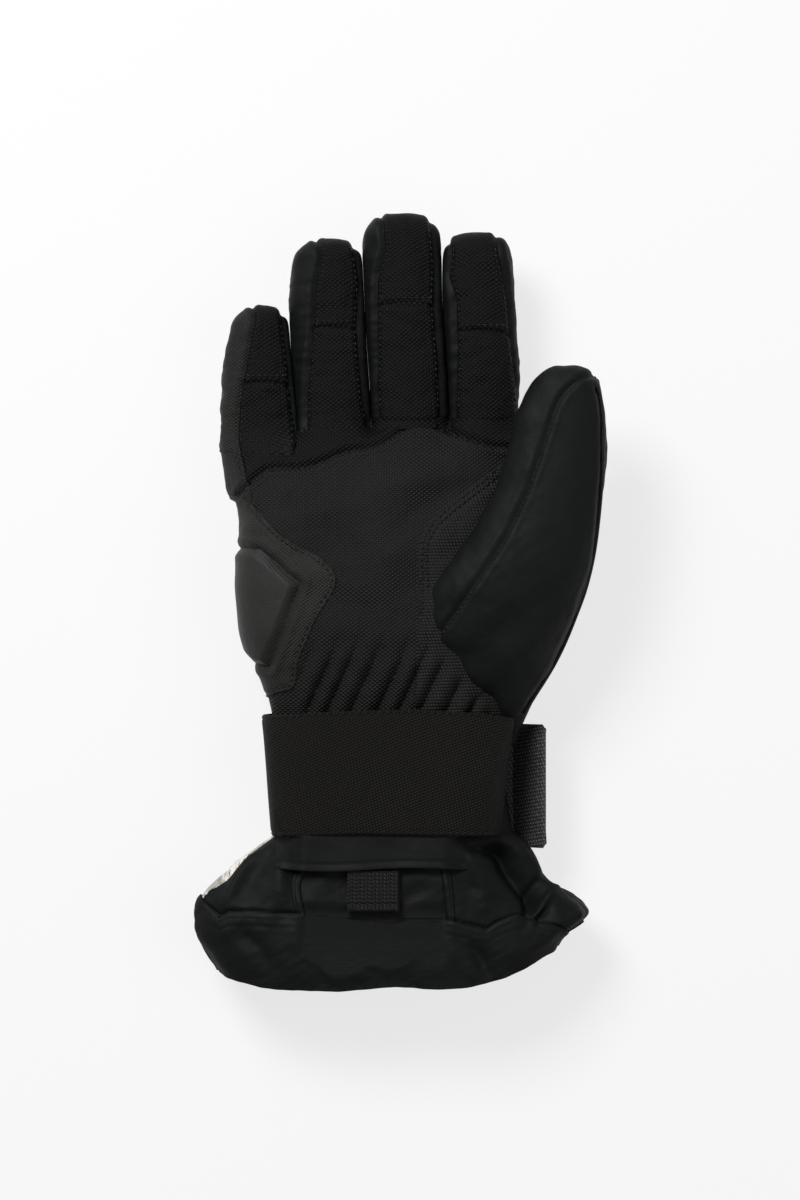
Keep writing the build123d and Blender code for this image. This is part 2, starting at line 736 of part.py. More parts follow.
with BuildPart() as hook_patch:
    add(box_on(tab_plane, (patch_border, tab_length - patch_border), centred(tab_width - 2 * patch_border),
               (-tab_thickness / 2 - hook_thickness, -tab_thickness / 2)))
save(hook_patch.part, "hook_patch")
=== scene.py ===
import json
import math
import bpy
import numpy as np
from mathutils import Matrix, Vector
from mathutils.bvhtree import BVHTree


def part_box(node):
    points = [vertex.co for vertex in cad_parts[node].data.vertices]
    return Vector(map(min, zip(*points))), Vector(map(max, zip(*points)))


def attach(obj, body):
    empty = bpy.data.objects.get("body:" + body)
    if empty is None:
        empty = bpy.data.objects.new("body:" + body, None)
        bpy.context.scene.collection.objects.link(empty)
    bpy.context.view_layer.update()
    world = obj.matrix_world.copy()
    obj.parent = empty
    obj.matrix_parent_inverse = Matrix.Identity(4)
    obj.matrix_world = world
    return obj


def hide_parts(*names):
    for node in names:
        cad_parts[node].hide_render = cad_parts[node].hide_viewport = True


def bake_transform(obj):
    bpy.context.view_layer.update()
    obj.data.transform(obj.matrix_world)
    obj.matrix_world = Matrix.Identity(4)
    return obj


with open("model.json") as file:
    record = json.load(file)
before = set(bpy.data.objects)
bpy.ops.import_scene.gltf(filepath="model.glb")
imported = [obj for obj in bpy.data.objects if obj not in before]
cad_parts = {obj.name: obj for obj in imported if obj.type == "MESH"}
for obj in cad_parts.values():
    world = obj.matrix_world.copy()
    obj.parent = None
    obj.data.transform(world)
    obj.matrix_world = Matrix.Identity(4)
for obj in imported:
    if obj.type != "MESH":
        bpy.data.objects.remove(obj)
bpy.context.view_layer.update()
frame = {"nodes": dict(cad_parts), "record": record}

joints = {joint["name"]: joint for joint in frame["record"]["behaviour"]["joints"]}
mm = 0.001
print("frame loaded", len(frame["nodes"]), "nodes")

# all shapes below are worked out in millimetres, in the frame's own axes: x across, y along, z up
wristEnd = -58.0          # where the skins of hand and thumb end, under the strap
fingerMiddle = 19.5       # height of each finger's middle at its root
bendLength = 14           # stretch past the web, given with each finger's bodies; past it a finger keeps all of its skin
splintSlope = math.radians(4)


def nodeBox(name):
    # lowest and highest corner of a frame node, in mm
    low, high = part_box(name)
    return np.array(low) / mm, np.array(high) / mm


def smooth(t):
    t = np.clip(t, 0, 1)
    return t * t * (3 - 2 * t)


def smoothMin(a, b, reach):
    h = np.clip(0.5 + 0.5 * (b - a) / reach, 0, 1)
    return b * (1 - h) + a * h - reach * h * (1 - h)


def smoothMax(a, b, reach):
    return -smoothMin(-a, -b, reach)


def profile(rows, window=7.0):
    # rows of (place, value, value...) turned into smooth curves; returns a function of place
    rows = np.array(sorted(rows), float)
    places = np.arange(rows[0, 0] - 20, rows[-1, 0] + 20, 0.5)
    kernel = np.hanning(int(window / 0.5) | 1)
    kernel /= kernel.sum()
    half = len(kernel) // 2
    curves = []
    for column in rows.T[1:]:
        values = np.interp(places, rows[:, 0], column)
        padded = np.concatenate([np.full(half, values[0]), values, np.full(half, values[-1])])
        curves.append(np.convolve(padded, kernel, mode="valid"))
    return lambda place: [np.interp(place, places, curve) for curve in curves]


def splinePoints(points, count=80):
    # Catmull-Rom curve through a few points
    points = np.array(points, float)
    ends = np.vstack([2 * points[0] - points[1], points, 2 * points[-1] - points[-2]])
    spans = len(points) - 1
    t = np.linspace(0, spans - 1e-6, count)
    i = t.astype(int)
    f = (t - i)[:, None]
    a, b, c, d = ends[i], ends[i + 1], ends[i + 2], ends[i + 3]
    return 0.5 * (2 * b + (c - a) * f + (2 * a - 5 * b + 4 * c - d) * f**2 + (3 * b - a - 3 * c + d) * f**3)


def sideOf(points, curve):
    # signed distance in plan to an open curve: positive on its right
    best = np.full(len(points), 1e9)
    bestOff = np.zeros(len(points))
    for a, b in zip(curve[:-1], curve[1:]):
        run = b - a
        to = points[:, :2] - a
        t = np.clip((to @ run) / max(run @ run, 1e-9), 0, 1)
        away = to - t[:, None] * run
        distance = np.hypot(away[:, 0], away[:, 1])
        off = (run[1] * to[:, 0] - run[0] * to[:, 1]) / max(math.hypot(*run), 1e-9)
        # at a corner of the line, the run that the point stands further off from decides the side
        closer = (distance < best - 1e-6) | ((distance < best + 1e-6) & (np.abs(off) > np.abs(bestOff)))
        best = np.where(closer, distance, best)
        bestOff = np.where(closer, off, bestOff)
    return best * np.where(bestOff > 0, 1, -1)


def insideOf(points, outline):
    # signed distance in plan to a closed outline: negative inside
    closed = np.vstack([outline, outline[:1]])
    distance = np.abs(sideOf(points, closed))
    inside = np.zeros(len(points), bool)
    x, y = points[:, 0], points[:, 1]
    for (ax, ay), (bx, by) in zip(closed[:-1], closed[1:]):
        crosses = (ay > y) != (by > y)
        with np.errstate(divide="ignore", invalid="ignore"):
            at = ax + (y - ay) * (bx - ax) / (by - ay)
        inside ^= crosses & (x < at)
    return np.where(inside, -distance, distance)


def waves(points, seed, scale, octaves=3):
    # smooth, repeatable unevenness between -1 and 1
    draw = np.random.default_rng(seed)
    total = np.zeros(len(points))
    weight = 0
    for octave in range(octaves):
        for _ in range(4):
            direction = draw.normal(size=3)
            direction *= 2 * math.pi * 2**octave / (scale * np.linalg.norm(direction))
            bend = draw.normal(size=3) * 0.35 / scale
            phase = draw.uniform(0, 2 * math.pi)
            total += np.sin(points @ direction + phase + 2 * np.sin(points @ bend * 6 + phase)) / 2**octave
        weight += 2.4 / 2**octave
    return total / weight


# seams, seen from the palm side

seams = {
    "outerSide": splinePoints([(-59, 124), (-59, 116.8), (-57.8, 112.8), (-61.4, 94), (-64.2, 77.6),
                               (-65, 64.8),
                               (-62.6, 52.8), (-60, 42.4), (-60, 40.4), (-65, 30.8), (-68, 22), (-70, 8)]),
    "upperPalm": splinePoints([(-66, 41), (-59.8, 47.2), (-52.6, 52.8), (-38.6, 54), (-31.4, 56), (-22.2, 60),
                               (-10.2, 62.4), (-3.4, 66), (5, 71.2), (13, 71.2), (21.4, 67.6), (34.2, 62.8),
                               (42.6, 61.6), (56, 60)]),
    "crotch": splinePoints([(7, -20), (8, 1.2), (7.4, 17.6), (9.4, 27.2), (17.8, 37.2), (39.4, 54),
                            (48, 62)]),
    "heelPatch": splinePoints([(-80, 44), (-66, 42), (-59, 38.8), (-50.2, 29.6), (-42.2, 23.2), (-32.6, 18.4),
                               (-27, 13.6), (-25, 8.4), (-26.6, 3.2), (-32.6, -6.4), (-36.2, -14.8),
                               (-39.8, -23.2),
                               (-41.8, -34), (-48.2, -36.4), (-54, -39), (-66, -42)], 160),
}
padOutline = np.array([(-66.5, 21.4), (-60.6, 21.2), (-55, 20.8), (-39.4, 7.2), (-51.8, -26), (-57.4, -24.4),
                       (-66, -17)])
fingerSeams = {
    "ring": {
        "left": [(-36, 150), (-31.8, 139.6), (-31.4, 136.4), (-33.8, 125.6), (-34.6, 109.2), (-36.2, 94),
                 (-37.4, 82.4), (-37.4, 67.2), (-37.6, 50)],
        "right": [(-20, 150), (-17.4, 137.6), (-15.8, 125.6), (-17, 109.2), (-15.8, 94), (-14.6, 80),
                  (-12.6, 72.8),
                  (-11, 50)]},
    "middle": {
        "left": [(-9, 162), (-7, 149.2), (-6.2, 140.8), (-9, 130.4), (-9.4, 117.6), (-9.4, 82.4), (-9, 72.8),
                 (-9, 50)],
        "right": [(10, 162), (12.6, 150.4), (14.2, 135.2), (13.8, 117.6), (15.4, 98.8), (16.6, 76.4),
                  (18, 50)]},
    "index": {
        "left": [(17, 158), (20.2, 138.8), (19, 130.4), (21.8, 121.2), (22.6, 100), (21.8, 75.2), (22, 50)],
        "right": [(36, 158), (39, 144.4), (39.4, 137.6), (41.8, 129.2), (43.4, 117.6), (44.2, 106.8),
                  (45.8, 94),
                  (48.2, 75.2), (51, 50)]},
    "little": {
        "left": [(-60, 128), (-59, 116.8), (-57.8, 112.8), (-61.4, 94), (-64.2, 77.6), (-65, 64.8),
                 (-62.6, 50)],
        "right": [(-48.5, 128), (-46.4, 112), (-44.8, 98), (-43.4, 84), (-41.6, 70), (-40.8, 50)]},
}
fingerOrder = ["little", "ring", "middle", "index"]


# forms of the glove as fields: negative inside

def slices(rows, power, window=7.0):
    # a body along Y, given by (y, left, right, bottom, top) at a few places
    curves = profile(rows, window)

    def field(p):
        left, right, bottom, top = curves(p[:, 1])
        halfWide = np.maximum((right - left) / 2, 0.6)
        halfDeep = np.maximum((top - bottom) / 2, 0.6)
        u = np.abs(p[:, 0] - (left + right) / 2) / halfWide
        n = np.abs(p[:, 2] - (bottom + top) / 2) / halfDeep
        return ((u**power + n**power) ** (1 / power) - 1) * np.minimum(halfWide, halfDeep)
    return field


palm = {
    "rows": [(-64, -50, 41.5, 5, 37), (-46, -51, 44.5, 4, 39.2), (-37, -53, 47, 2.5, 41.5),
             (-23, -58, 50, 0, 45),
             (-12, -61.2, 50, -1.5, 47), (6, -62.8, 50, -1.5, 47.5), (20, -62.6, 50, -1.5, 47.3),
             (35, -64, 49, -1.5, 45.6), (46, -65.6, 48.5, -1, 43), (58, -66.5, 48, 0, 39),
             (72, -67, 47, 3, 35)],
    "end": 67.0,
}
fingers = {
    "little": {"tip": 118.6, "root": 62.0, "cap": 86.8, "rows": [
        (45, -68, -40.3), (62, -70.4, -39.6), (75, -72.0, -40.2), (90, -71.0, -42.0), (102, -69.6, -43.4),
        (112, -67.4, -44.6), (119, -64.4, -46.2)], "deep": (11.8, 11.0, 8.6)},
    "ring": {"tip": 144.8, "root": 72.0, "cap": 108.4, "rows": [
        (50, -42.4, -11.0), (66, -41.4, -10.8), (85, -43.0, -11.6), (100, -44.1, -12.6), (121, -44.5, -13.6),
        (134, -43.3, -14.4), (145, -40.2, -16.6)], "deep": (13.2, 12.2, 9.6)},
    "middle": {"tip": 155.0, "root": 76.0, "cap": 117.6, "rows": [
        (55, -11.4, 20.2), (75, -11.9, 20.2), (95, -13.3, 19.2), (115, -14.8, 18.0), (136, -15.4, 16.8),
        (147, -14.2, 15.6), (155, -12.6, 13.8)], "deep": (13.8, 12.6, 9.8)},
    "index": {"tip": 147.6, "root": 76.0, "cap": 106.8, "rows": [
        (55, 19.8, 48.6), (75, 19.2, 48.4), (92, 18.2, 48), (110, 16.9, 46.4), (125, 16.2, 45.4),
        (138, 17.0, 44.8), (148, 19.2, 42.6)], "deep": (13.6, 12.4, 9.8)},
}
fingerLift = math.tan(math.radians(6))
thumb = {
    "rows": [(-62, 42, 45, 18, 26), (-50, 40, 49, 14, 31), (-40, 31, 53.5, 11, 38), (-28, 19, 60, 10, 46),
             (-18, 11, 65.5, 10, 51), (-6, 7, 70.5, 12, 55.5), (3, 8.5, 74, 14, 58), (12, 15, 76, 17, 59.5),
             (28, 28.5, 78.8, 24, 61), (46, 38.6, 80.8, 28.5, 61.6), (61, 42.6, 82, 31.5, 62),
             (74, 45.6, 81.2, 34, 62), (84, 50.6, 79.4, 36.5, 61.5), (93, 55.5, 76.5, 40, 60)],
    "tip": 93.0,
}


def halfDeepAt(shape, y):
    middle = (shape["root"] + shape["tip"]) / 2
    return np.interp(y, [shape["root"], middle, shape["tip"]], shape["deep"])


def heightAt(shape, y):
    # a finger's middle height: it rises from its root to its tip, and a little behind its root
    y = np.asarray(y, float)
    return fingerMiddle + (y - shape["root"]) * fingerLift * np.where(y > shape["root"], 1, 0.4)


def fingerField(finger):
    full = []
    for y, left, right in finger["rows"]:
        deep = halfDeepAt(finger, y)
        centre = float(heightAt(finger, y))
        full.append((y, left, right, centre - deep, centre + deep))
    tube = slices(full, 2.35)
    return lambda p: smoothMax(tube(p), p[:, 1] - finger["tip"], 9.0)


palmTube = slices(palm["rows"], 3.4, 12)
fingerFields = {name: fingerField(finger) for name, finger in fingers.items()}
thumbTube = slices(thumb["rows"], 2.25, 10)


def lineAcross(rows):
    # x of a seam that runs along a finger, at each y
    rows = sorted(rows, key=lambda row: row[1])
    ys = [row[1] for row in rows]
    xs = [row[0] for row in rows]
    places = np.arange(ys[0], ys[-1], 0.5)
    values = np.interp(places, ys, xs)
    kernel = np.hanning(13)
    kernel /= kernel.sum()
    values = np.convolve(np.pad(values, 6, mode="edge"), kernel, mode="valid")
    return lambda y: np.interp(y, places, values)


class Finger:
    # one finger's own axes, v along it from the web; its body, and its seams
    def __init__(self, name):
        self.name = name
        self.shape = fingers[name]
        self.field = fingerFields[name]
        across = np.array(joints[f"{name}_flex"]["axis"])
        along = np.cross((0, 0, 1), across)
        self.along = np.array([along[0], along[1], fingerLift * math.hypot(along[0], along[1])])
        self.along /= np.linalg.norm(self.along)
        low, high = nodeBox(f"{name}_front")
        self.web = np.array([(low[0] + high[0]) / 2, low[1], fingerMiddle])
        self.leftSeam = lineAcross(fingerSeams[name]["left"])
        self.rightSeam = lineAcross(fingerSeams[name]["right"])
        self.sides = profile([(y, left, right) for y, left, right in self.shape["rows"]])

    def v(self, p):
        return (p - self.web) @ self.along

    def axisHeight(self, y):
        return heightAt(self.shape, y)

    def free(self, p):
        # the part beyond the web
        return np.maximum(self.field(p), 0.3 - self.v(p))

    def root(self, p):
        # the part behind the web, pressed flat by the neighbours' free parts
        inside = smoothMax(self.field(p), self.v(p) - 0.6, 0.5)
        return smoothMax(inside, self.pressed(p), 0.3)

    def bend(self):
        # the two bodies that its cloth joins, and the stretch past its web, in metres
        return ("hand", self.name), tuple(self.web * mm), tuple((self.web + bendLength * self.along) * mm)

    def neighbours(self):
        place = fingerOrder.index(self.name)
        return [digits[name] for name in fingerOrder[max(place - 1, 0):place + 2] if name != self.name]

    def pressed(self, p):
        others = np.min([digit.free(p) for digit in digits.values() if digit is not self], 0)
        return 0.5 * (self.field(p) - others) + 0.03


digits = {name: Finger(name) for name in fingerOrder}


def palmField(p):
    return smoothMax(palmTube(p), p[:, 1] - palm["end"], 9.0)


def handField(p):
    roots = np.full(len(p), 1e3)
    for digit in digits.values():
        roots = smoothMin(roots, smoothMax(digit.root(p), 44 - p[:, 1], 4.0), 0.8)
    body = smoothMin(palmField(p), roots, 7.0)
    body = smoothMax(body, -p[:, 2], 5.0)
    return smoothMax(body, wristEnd - p[:, 1], 1.0)


def thumbField(p):
    body = smoothMax(thumbTube(p), p[:, 1] - thumb["tip"], 8.0)
    return smoothMax(body, wristEnd - p[:, 1], 1.0)


# meshing of a field, and cutting a mesh along seams

def inChunks(field, points, size=400000):
    return np.concatenate([field(points[i:i + size]) for i in range(0, len(points), size)])


def fieldNormals(field, points, step=0.35):
    slope = np.empty_like(points)
    for axis in range(3):
        shift = np.zeros(3)
        shift[axis] = step
        slope[:, axis] = (field(points + shift) - field(points - shift)) / (2 * step)
    return slope


def meshField(field, low, high, step):
    # surface nets on a fine grid that is only worked out near the surface
    block = 4
    low = np.array(low, float)
    blocks = np.ceil((np.array(high, float) - low) / (step * block)).astype(int) + 1
    coarse = np.stack(np.meshgrid(*[np.arange(n) for n in blocks], indexing="ij"), -1).reshape(-1, 3)
    values = inChunks(field, low + coarse * step * block).reshape(blocks)
    near = np.abs(values) < 2.4 * block * step
    flagged = near.copy()
    for dx in (0, 1):
        for dy in (0, 1):
            for dz in (0, 1):
                ends = np.array(blocks) - (dx, dy, dz)
                flagged[:ends[0], :ends[1], :ends[2]] |= near[dx:, dy:, dz:]
    grid = values.repeat(block, 0).repeat(block, 1).repeat(block, 2)
    offsets = np.stack(np.meshgrid(*[np.arange(block)] * 3, indexing="ij"), -1).reshape(-1, 3)
    index = (np.argwhere(flagged)[:, None] * block + offsets).reshape(-1, 3)
    grid[index[:, 0], index[:, 1], index[:, 2]] = inChunks(field, low + index * step)
    inside = grid < 0
    count = np.zeros(np.array(grid.shape) - 1, np.int8)
    corners = [(a, b, c) for a in (0, 1) for b in (0, 1) for c in (0, 1)]
    ends = count.shape
    for a, b, c in corners:
        count += inside[a:a + ends[0], b:b + ends[1], c:c + ends[2]]
    cells = np.argwhere((count > 0) & (count < 8))
    number = np.full(ends, -1, np.int64)
    number[cells[:, 0], cells[:, 1], cells[:, 2]] = np.arange(len(cells))
    total = np.zeros((len(cells), 3))
    hits = np.zeros(len(cells))
    for axis in range(3):
        run = np.zeros(3, int)
        run[axis] = 1
        for corner in corners:
            if corner[axis]:
                continue
            a = cells + corner
            b = a + run
            valueA = grid[a[:, 0], a[:, 1], a[:, 2]]
            valueB = grid[b[:, 0], b[:, 1], b[:, 2]]
            cross = (valueA < 0) != (valueB < 0)
            t = np.where(cross, valueA / np.where(cross, valueA - valueB, 1), 0)
            total += np.where(cross[:, None], a + t[:, None] * run, 0)
            hits += cross
    points = low + total / hits[:, None] * step
    quads = []
    for axis in range(3):
        other = [k for k in range(3) if k != axis]
        first = [slice(None)] * 3
        second = [slice(None)] * 3
        first[axis] = slice(0, -1)
        second[axis] = slice(1, None)
        change = inside[tuple(first)] != inside[tuple(second)]
        at = np.argwhere(change)
        at = at[(at[:, other[0]] > 0) & (at[:, other[1]] > 0)]
        at = at[(at[:, other[0]] < ends[other[0]]) & (at[:, other[1]] < ends[other[1]])]
        across = np.zeros(3, int)
        up = np.zeros(3, int)
        across[other[0]] = 1
        up[other[1]] = 1
        ring = [at - across - up, at - up, at, at - across]
        face = np.stack([number[r[:, 0], r[:, 1], r[:, 2]] for r in ring], 1)
        outward = inside[at[:, 0], at[:, 1], at[:, 2]]
        if axis == 1:
            outward = ~outward
        quads.append(np.where(outward[:, None], face, face[:, ::-1]))
    quads = np.concatenate(quads)
    quads = quads[(quads >= 0).all(1)]
    return points, quads


def edgesOf(faces):
    pairs = np.concatenate([faces[:, [i, (i + 1) % faces.shape[1]]] for i in range(faces.shape[1])])
    return np.unique(np.sort(pairs, 1), axis=0)


def neighbourMean(points, edges):
    count = np.bincount(edges.ravel(), minlength=len(points))
    mean = np.stack([np.bincount(edges[:, 0], points[edges[:, 1], k], len(points))
                     + np.bincount(edges[:, 1], points[edges[:, 0], k], len(points)) for k in range(3)], 1)
    return mean / np.maximum(count, 1)[:, None]


def settle(field, points, faces, rounds=3):
    # evens the mesh out and puts its points on the surface
    edges = edgesOf(faces)
    for turn in range(rounds):
        points = points + 0.6 * (neighbourMean(points, edges) - points)
        slope = fieldNormals(field, points)
        size = np.maximum((slope**2).sum(1), 0.05)
        move = -(field(points) / size)[:, None] * slope
        points = points + np.clip(move, -1.5, 1.5)
    return points


def triangles(quads, points):
    a, b, c, d = quads.T
    short = np.linalg.norm(points[a] - points[c], axis=1) < np.linalg.norm(points[b] - points[d], axis=1)
    first = np.where(short[:, None], np.stack([a, b, c], 1), np.stack([a, b, d], 1))
    second = np.where(short[:, None], np.stack([a, c, d], 1), np.stack([b, c, d], 1))
    return np.concatenate([first, second])


def cut(points, tris, place, snap=0.12):
    # divides the triangles where place(points) changes sign
    value = place(points)
    value = np.where(np.abs(value) < snap, 0.0, value)
    side = np.sign(value[tris])
    crossed = (side.min(1) < 0) & (side.max(1) > 0)
    kept = tris[~crossed]
    work = tris[crossed]
    if not len(work):
        return points, tris
    pairs = np.concatenate([work[:, [0, 1]], work[:, [1, 2]], work[:, [2, 0]]])
    pairs = np.sort(pairs[value[pairs[:, 0]] * value[pairs[:, 1]] < 0], 1)
    pairs = np.unique(pairs, axis=0)
    t = value[pairs[:, 0]] / (value[pairs[:, 0]] - value[pairs[:, 1]])
    fresh = points[pairs[:, 0]] + t[:, None] * (points[pairs[:, 1]] - points[pairs[:, 0]])
    key = pairs[:, 0] * len(points) + pairs[:, 1]
    start = len(points)

    def between(a, b):
        pair = np.sort(np.stack([a, b], 1), 1)
        return start + np.searchsorted(key, pair[:, 0] * start + pair[:, 1])
    out = [kept]
    sign = np.sign(value[work])
    for turn in range(3):
        tri = np.roll(work, -turn, 1)
        s = np.roll(sign, -turn, 1)
        # the first corner lies on the seam, the other two on either side of it
        on = (s[:, 0] == 0) & (s[:, 1] * s[:, 2] < 0)
        if on.any():
            a, b, c = tri[on].T
            m = between(b, c)
            out += [np.stack([a, b, m], 1), np.stack([a, m, c], 1)]
        # the first corner is alone on its side
        lone = (s[:, 1] == s[:, 2]) & (s[:, 0] * s[:, 1] < 0)
        if lone.any():
            a, b, c = tri[lone].T
            m = between(a, b)
            n = between(a, c)
            out += [np.stack([a, m, n], 1), np.stack([m, b, c], 1), np.stack([m, c, n], 1)]
    return np.vstack([points, fresh]), np.concatenate(out)


def pointNormals(points, tris):
    a, b, c = points[tris[:, 0]], points[tris[:, 1]], points[tris[:, 2]]
    face = np.cross(b - a, c - a)
    columns = [sum(np.bincount(tris[:, i], face[:, k], len(points)) for i in range(3)) for k in range(3)]
    normal = np.stack(columns, 1)
    return normal / np.maximum(np.linalg.norm(normal, axis=1), 1e-12)[:, None]


# pieces


def newPiece(name, points, faces, body, slot, material, replaced=(), uv=None, sharp=50):
    # points in mm; uv holds one (u, v) in mm per point, from which the weave is drawn
    mesh = bpy.data.meshes.new(name)
    points = np.asarray(points, float)
    mesh.from_pydata((points * mm).tolist(), [], [tuple(int(i) for i in face) for face in faces])
    if uv is not None:
        layer = mesh.uv_layers.new(name="weave")
        loops = np.empty(len(mesh.loops), np.int32)
        mesh.loops.foreach_get("vertex_index", loops)
        layer.data.foreach_set("uv", np.asarray(uv, np.float32)[loops].ravel() * 0.1)
    mesh.polygons.foreach_set("use_smooth", np.ones(len(mesh.polygons), bool))
    if sharp:
        mesh.set_sharp_from_angle(angle=math.radians(sharp))
    mesh.materials.append(material)
    obj = bpy.data.objects.new(name, mesh)
    bpy.context.collection.objects.link(obj)
    if replaced:
        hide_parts(*replaced)
    if body:
        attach(obj, body)
    return obj


def compact(points, faces, *others):
    # drops points that no face uses
    used = np.unique(faces)
    renumber = np.full(len(points), -1)
    renumber[used] = np.arange(len(used))
    return (points[used], renumber[faces], *[other[used] for other in others])


def thicken(points, tris, normals, thickness, uv):
    # closes an open panel: an inner face, and a rim along its edges
    count = len(points)
    inner = points - normals * thickness
    half = np.concatenate([tris[:, [0, 1]], tris[:, [1, 2]], tris[:, [2, 0]]])
    key = np.sort(half, 1)
    _, first, number = np.unique(key, axis=0, return_index=True, return_counts=True)
    rim = half[first[number == 1]]
    faces = [*tris.tolist(), *(tris[:, ::-1] + count).tolist()]
    faces += [[b, a, a + count, b + count] for a, b in rim.tolist()]
    return np.vstack([points, inner]), faces, np.vstack([uv, uv])


# materials: one woven or knitted cloth at a time

def nodesOf(name):
    material = bpy.data.materials.new(name)
    material.use_nodes = True
    tree = material.node_tree
    tree.nodes.clear()
    output = tree.nodes.new("ShaderNodeOutputMaterial")
    shader = tree.nodes.new("ShaderNodeBsdfPrincipled")
    tree.links.new(shader.outputs[0], output.inputs[0])
    return material, tree, shader


class Graph:
    # short way to write chains of nodes
    def __init__(self, tree):
        self.tree = tree

    def node(self, kind, inputs=(), **settings):
        node = self.tree.nodes.new(kind)
        for key, value in settings.items():
            setattr(node, key, value)
        for key, value in dict(inputs).items():
            if isinstance(value, bpy.types.NodeSocket):
                self.tree.links.new(value, node.inputs[key])
            else:
                node.inputs[key].default_value = value
        return node

    def math(self, operation, a, b=0.0, c=0.0):
        return self.node("ShaderNodeMath", {0: a, 1: b, 2: c}, operation=operation).outputs[0]

    def uv(self, turn=0.0):
        # place on the cloth in mm, turned against its length; the mesh keeps it in centimetres
        source = self.node("ShaderNodeUVMap", uv_map="weave").outputs[0]
        return self.node("ShaderNodeMapping", {"Vector": source, "Scale": (10, 10, 10),
                                               "Rotation": (0, 0, turn)}).outputs[0]

    def split(self, vector):
        return self.node("ShaderNodeSeparateXYZ", {0: vector}).outputs

    def noise(self, vector, scale, detail=3.0, roughness=0.55):
        return self.node("ShaderNodeTexNoise", {"Vector": vector, "Scale": scale, "Detail": detail,
                                                "Roughness": roughness}).outputs[0]

    def ramp(self, value, low, high, start, end):
        return self.node("ShaderNodeMapRange", {0: value, 1: low, 2: high, 3: start, 4: end}).outputs[0]

    def blendColour(self, factor, a, b):
        node = self.node("ShaderNodeMix", {0: factor}, data_type="RGBA")
        for socket, value in ((node.inputs[6], a), (node.inputs[7], b)):
            if isinstance(value, bpy.types.NodeSocket):
                self.tree.links.new(value, socket)
            else:
                socket.default_value = (*value, 1)
        return node.outputs[2]

    def bump(self, height, strength, distance):
        return self.node("ShaderNodeBump", {"Height": height, "Strength": strength,
                                            "Distance": distance}).outputs[0]

    def wave(self, value, turns):
        # 0 to 1 and back, turns times per unit
        phase = self.math("MULTIPLY", value, 2 * math.pi * turns)
        return self.math("MULTIPLY_ADD", self.math("SINE", phase), 0.5, 0.5)


def clothMaterial(cloth):
    # the cloth's colour with painted light from its weave: raised threads painted lighter as a painted
    # highlight, hollows painted darker as painted shade; wear in soft blotches over it
    material, tree, shader = nodesOf(cloth["name"])
    graph = Graph(tree)
    u, v, _ = graph.split(graph.uv(cloth.get("turn", 0.0)))
    pitch = cloth["pitch"]
    if cloth["weave"] == "dobby":
        # raised diamonds, a little wider than they are high
        low = graph.math("MULTIPLY", v, 1.35)
        a = graph.wave(graph.math("ADD", u, low), 0.62 / pitch)
        b = graph.wave(graph.math("SUBTRACT", u, low), 0.62 / pitch)
        height = graph.math("POWER", graph.math("MULTIPLY", a, b), 0.8)
    elif cloth["weave"] == "birdseye":
        a = graph.wave(graph.math("ADD", u, v), 0.5 / pitch)
        b = graph.wave(graph.math("SUBTRACT", u, v), 0.5 / pitch)
        height = graph.math("MAXIMUM", graph.math("MULTIPLY", a, b),
                            graph.math("MULTIPLY", graph.math("SUBTRACT", 1.0, a),
                                       graph.math("SUBTRACT", 1.0, b)))
    elif cloth["weave"] == "ribs":
        ribs = graph.wave(u, 1 / pitch)
        picks = graph.wave(graph.math("MULTIPLY_ADD", graph.wave(u, 0.5 / pitch), 0.5 * pitch, v), 1 / pitch)
        height = graph.math("MULTIPLY_ADD", picks, 0.4, graph.math("MULTIPLY", ribs, 0.6))
    elif cloth["weave"] == "grain":
        cells = graph.node("ShaderNodeTexVoronoi", {"Vector": graph.uv(), "Scale": 1 / pitch,
                                                    "Randomness": 0.9}, feature="F1").outputs[0]
        height = graph.ramp(cells, 0.1, 0.7, 1.0, 0.0)
    else:
        wales = graph.wave(u, 1 / pitch)
        courses = graph.wave(v, 1 / pitch)
        height = graph.math("MULTIPLY", wales, courses)
    place = graph.uv()
    blotch = graph.noise(place, 0.06, 4.0, 0.6)
    fuzz = graph.noise(place, 3.5, 2.0, 0.6)
    pattern = graph.math("MULTIPLY_ADD", fuzz, 0.25, height)
    # painted light: the weave's height picks the colour between "dark", painted shade in its hollows, and
    # "light", a painted highlight on its raised threads
    weaveWithPaintedLight = graph.blendColour(graph.ramp(pattern, 0.0, 1.0, 0.0, 1.0), cloth["dark"], cloth["light"])
    wear = graph.ramp(blotch, 0.35, 0.7, 0.0, cloth.get("wear", 0.35))
    worn = graph.blendColour(wear, weaveWithPaintedLight, cloth["worn"])
    tree.links.new(worn, shader.inputs["Base Color"])
    rough = graph.ramp(blotch, 0.3, 0.7, cloth["rough"] - 0.06, cloth["rough"] + 0.06)
    tree.links.new(rough, shader.inputs["Roughness"])
    coarse = graph.bump(graph.noise(place, 0.22, 3.0, 0.5), cloth.get("crease", 0.25), 0.0012)
    fine = graph.node("ShaderNodeBump", {"Height": pattern, "Strength": cloth.get("relief", 0.5),
                                         "Distance": cloth.get("depth", 0.00025),
                                         "Normal": coarse}).outputs[0]
    tree.links.new(fine, shader.inputs["Normal"])
    shader.inputs["Specular IOR Level"].default_value = cloth.get("specular", 0.15)
    shader.inputs["Sheen Weight"].default_value = cloth.get("sheen", 0.0)
    shader.inputs["Sheen Roughness"].default_value = 0.5
    shader.inputs["Sheen Tint"].default_value = (1, 1, 1, 1)
    return material
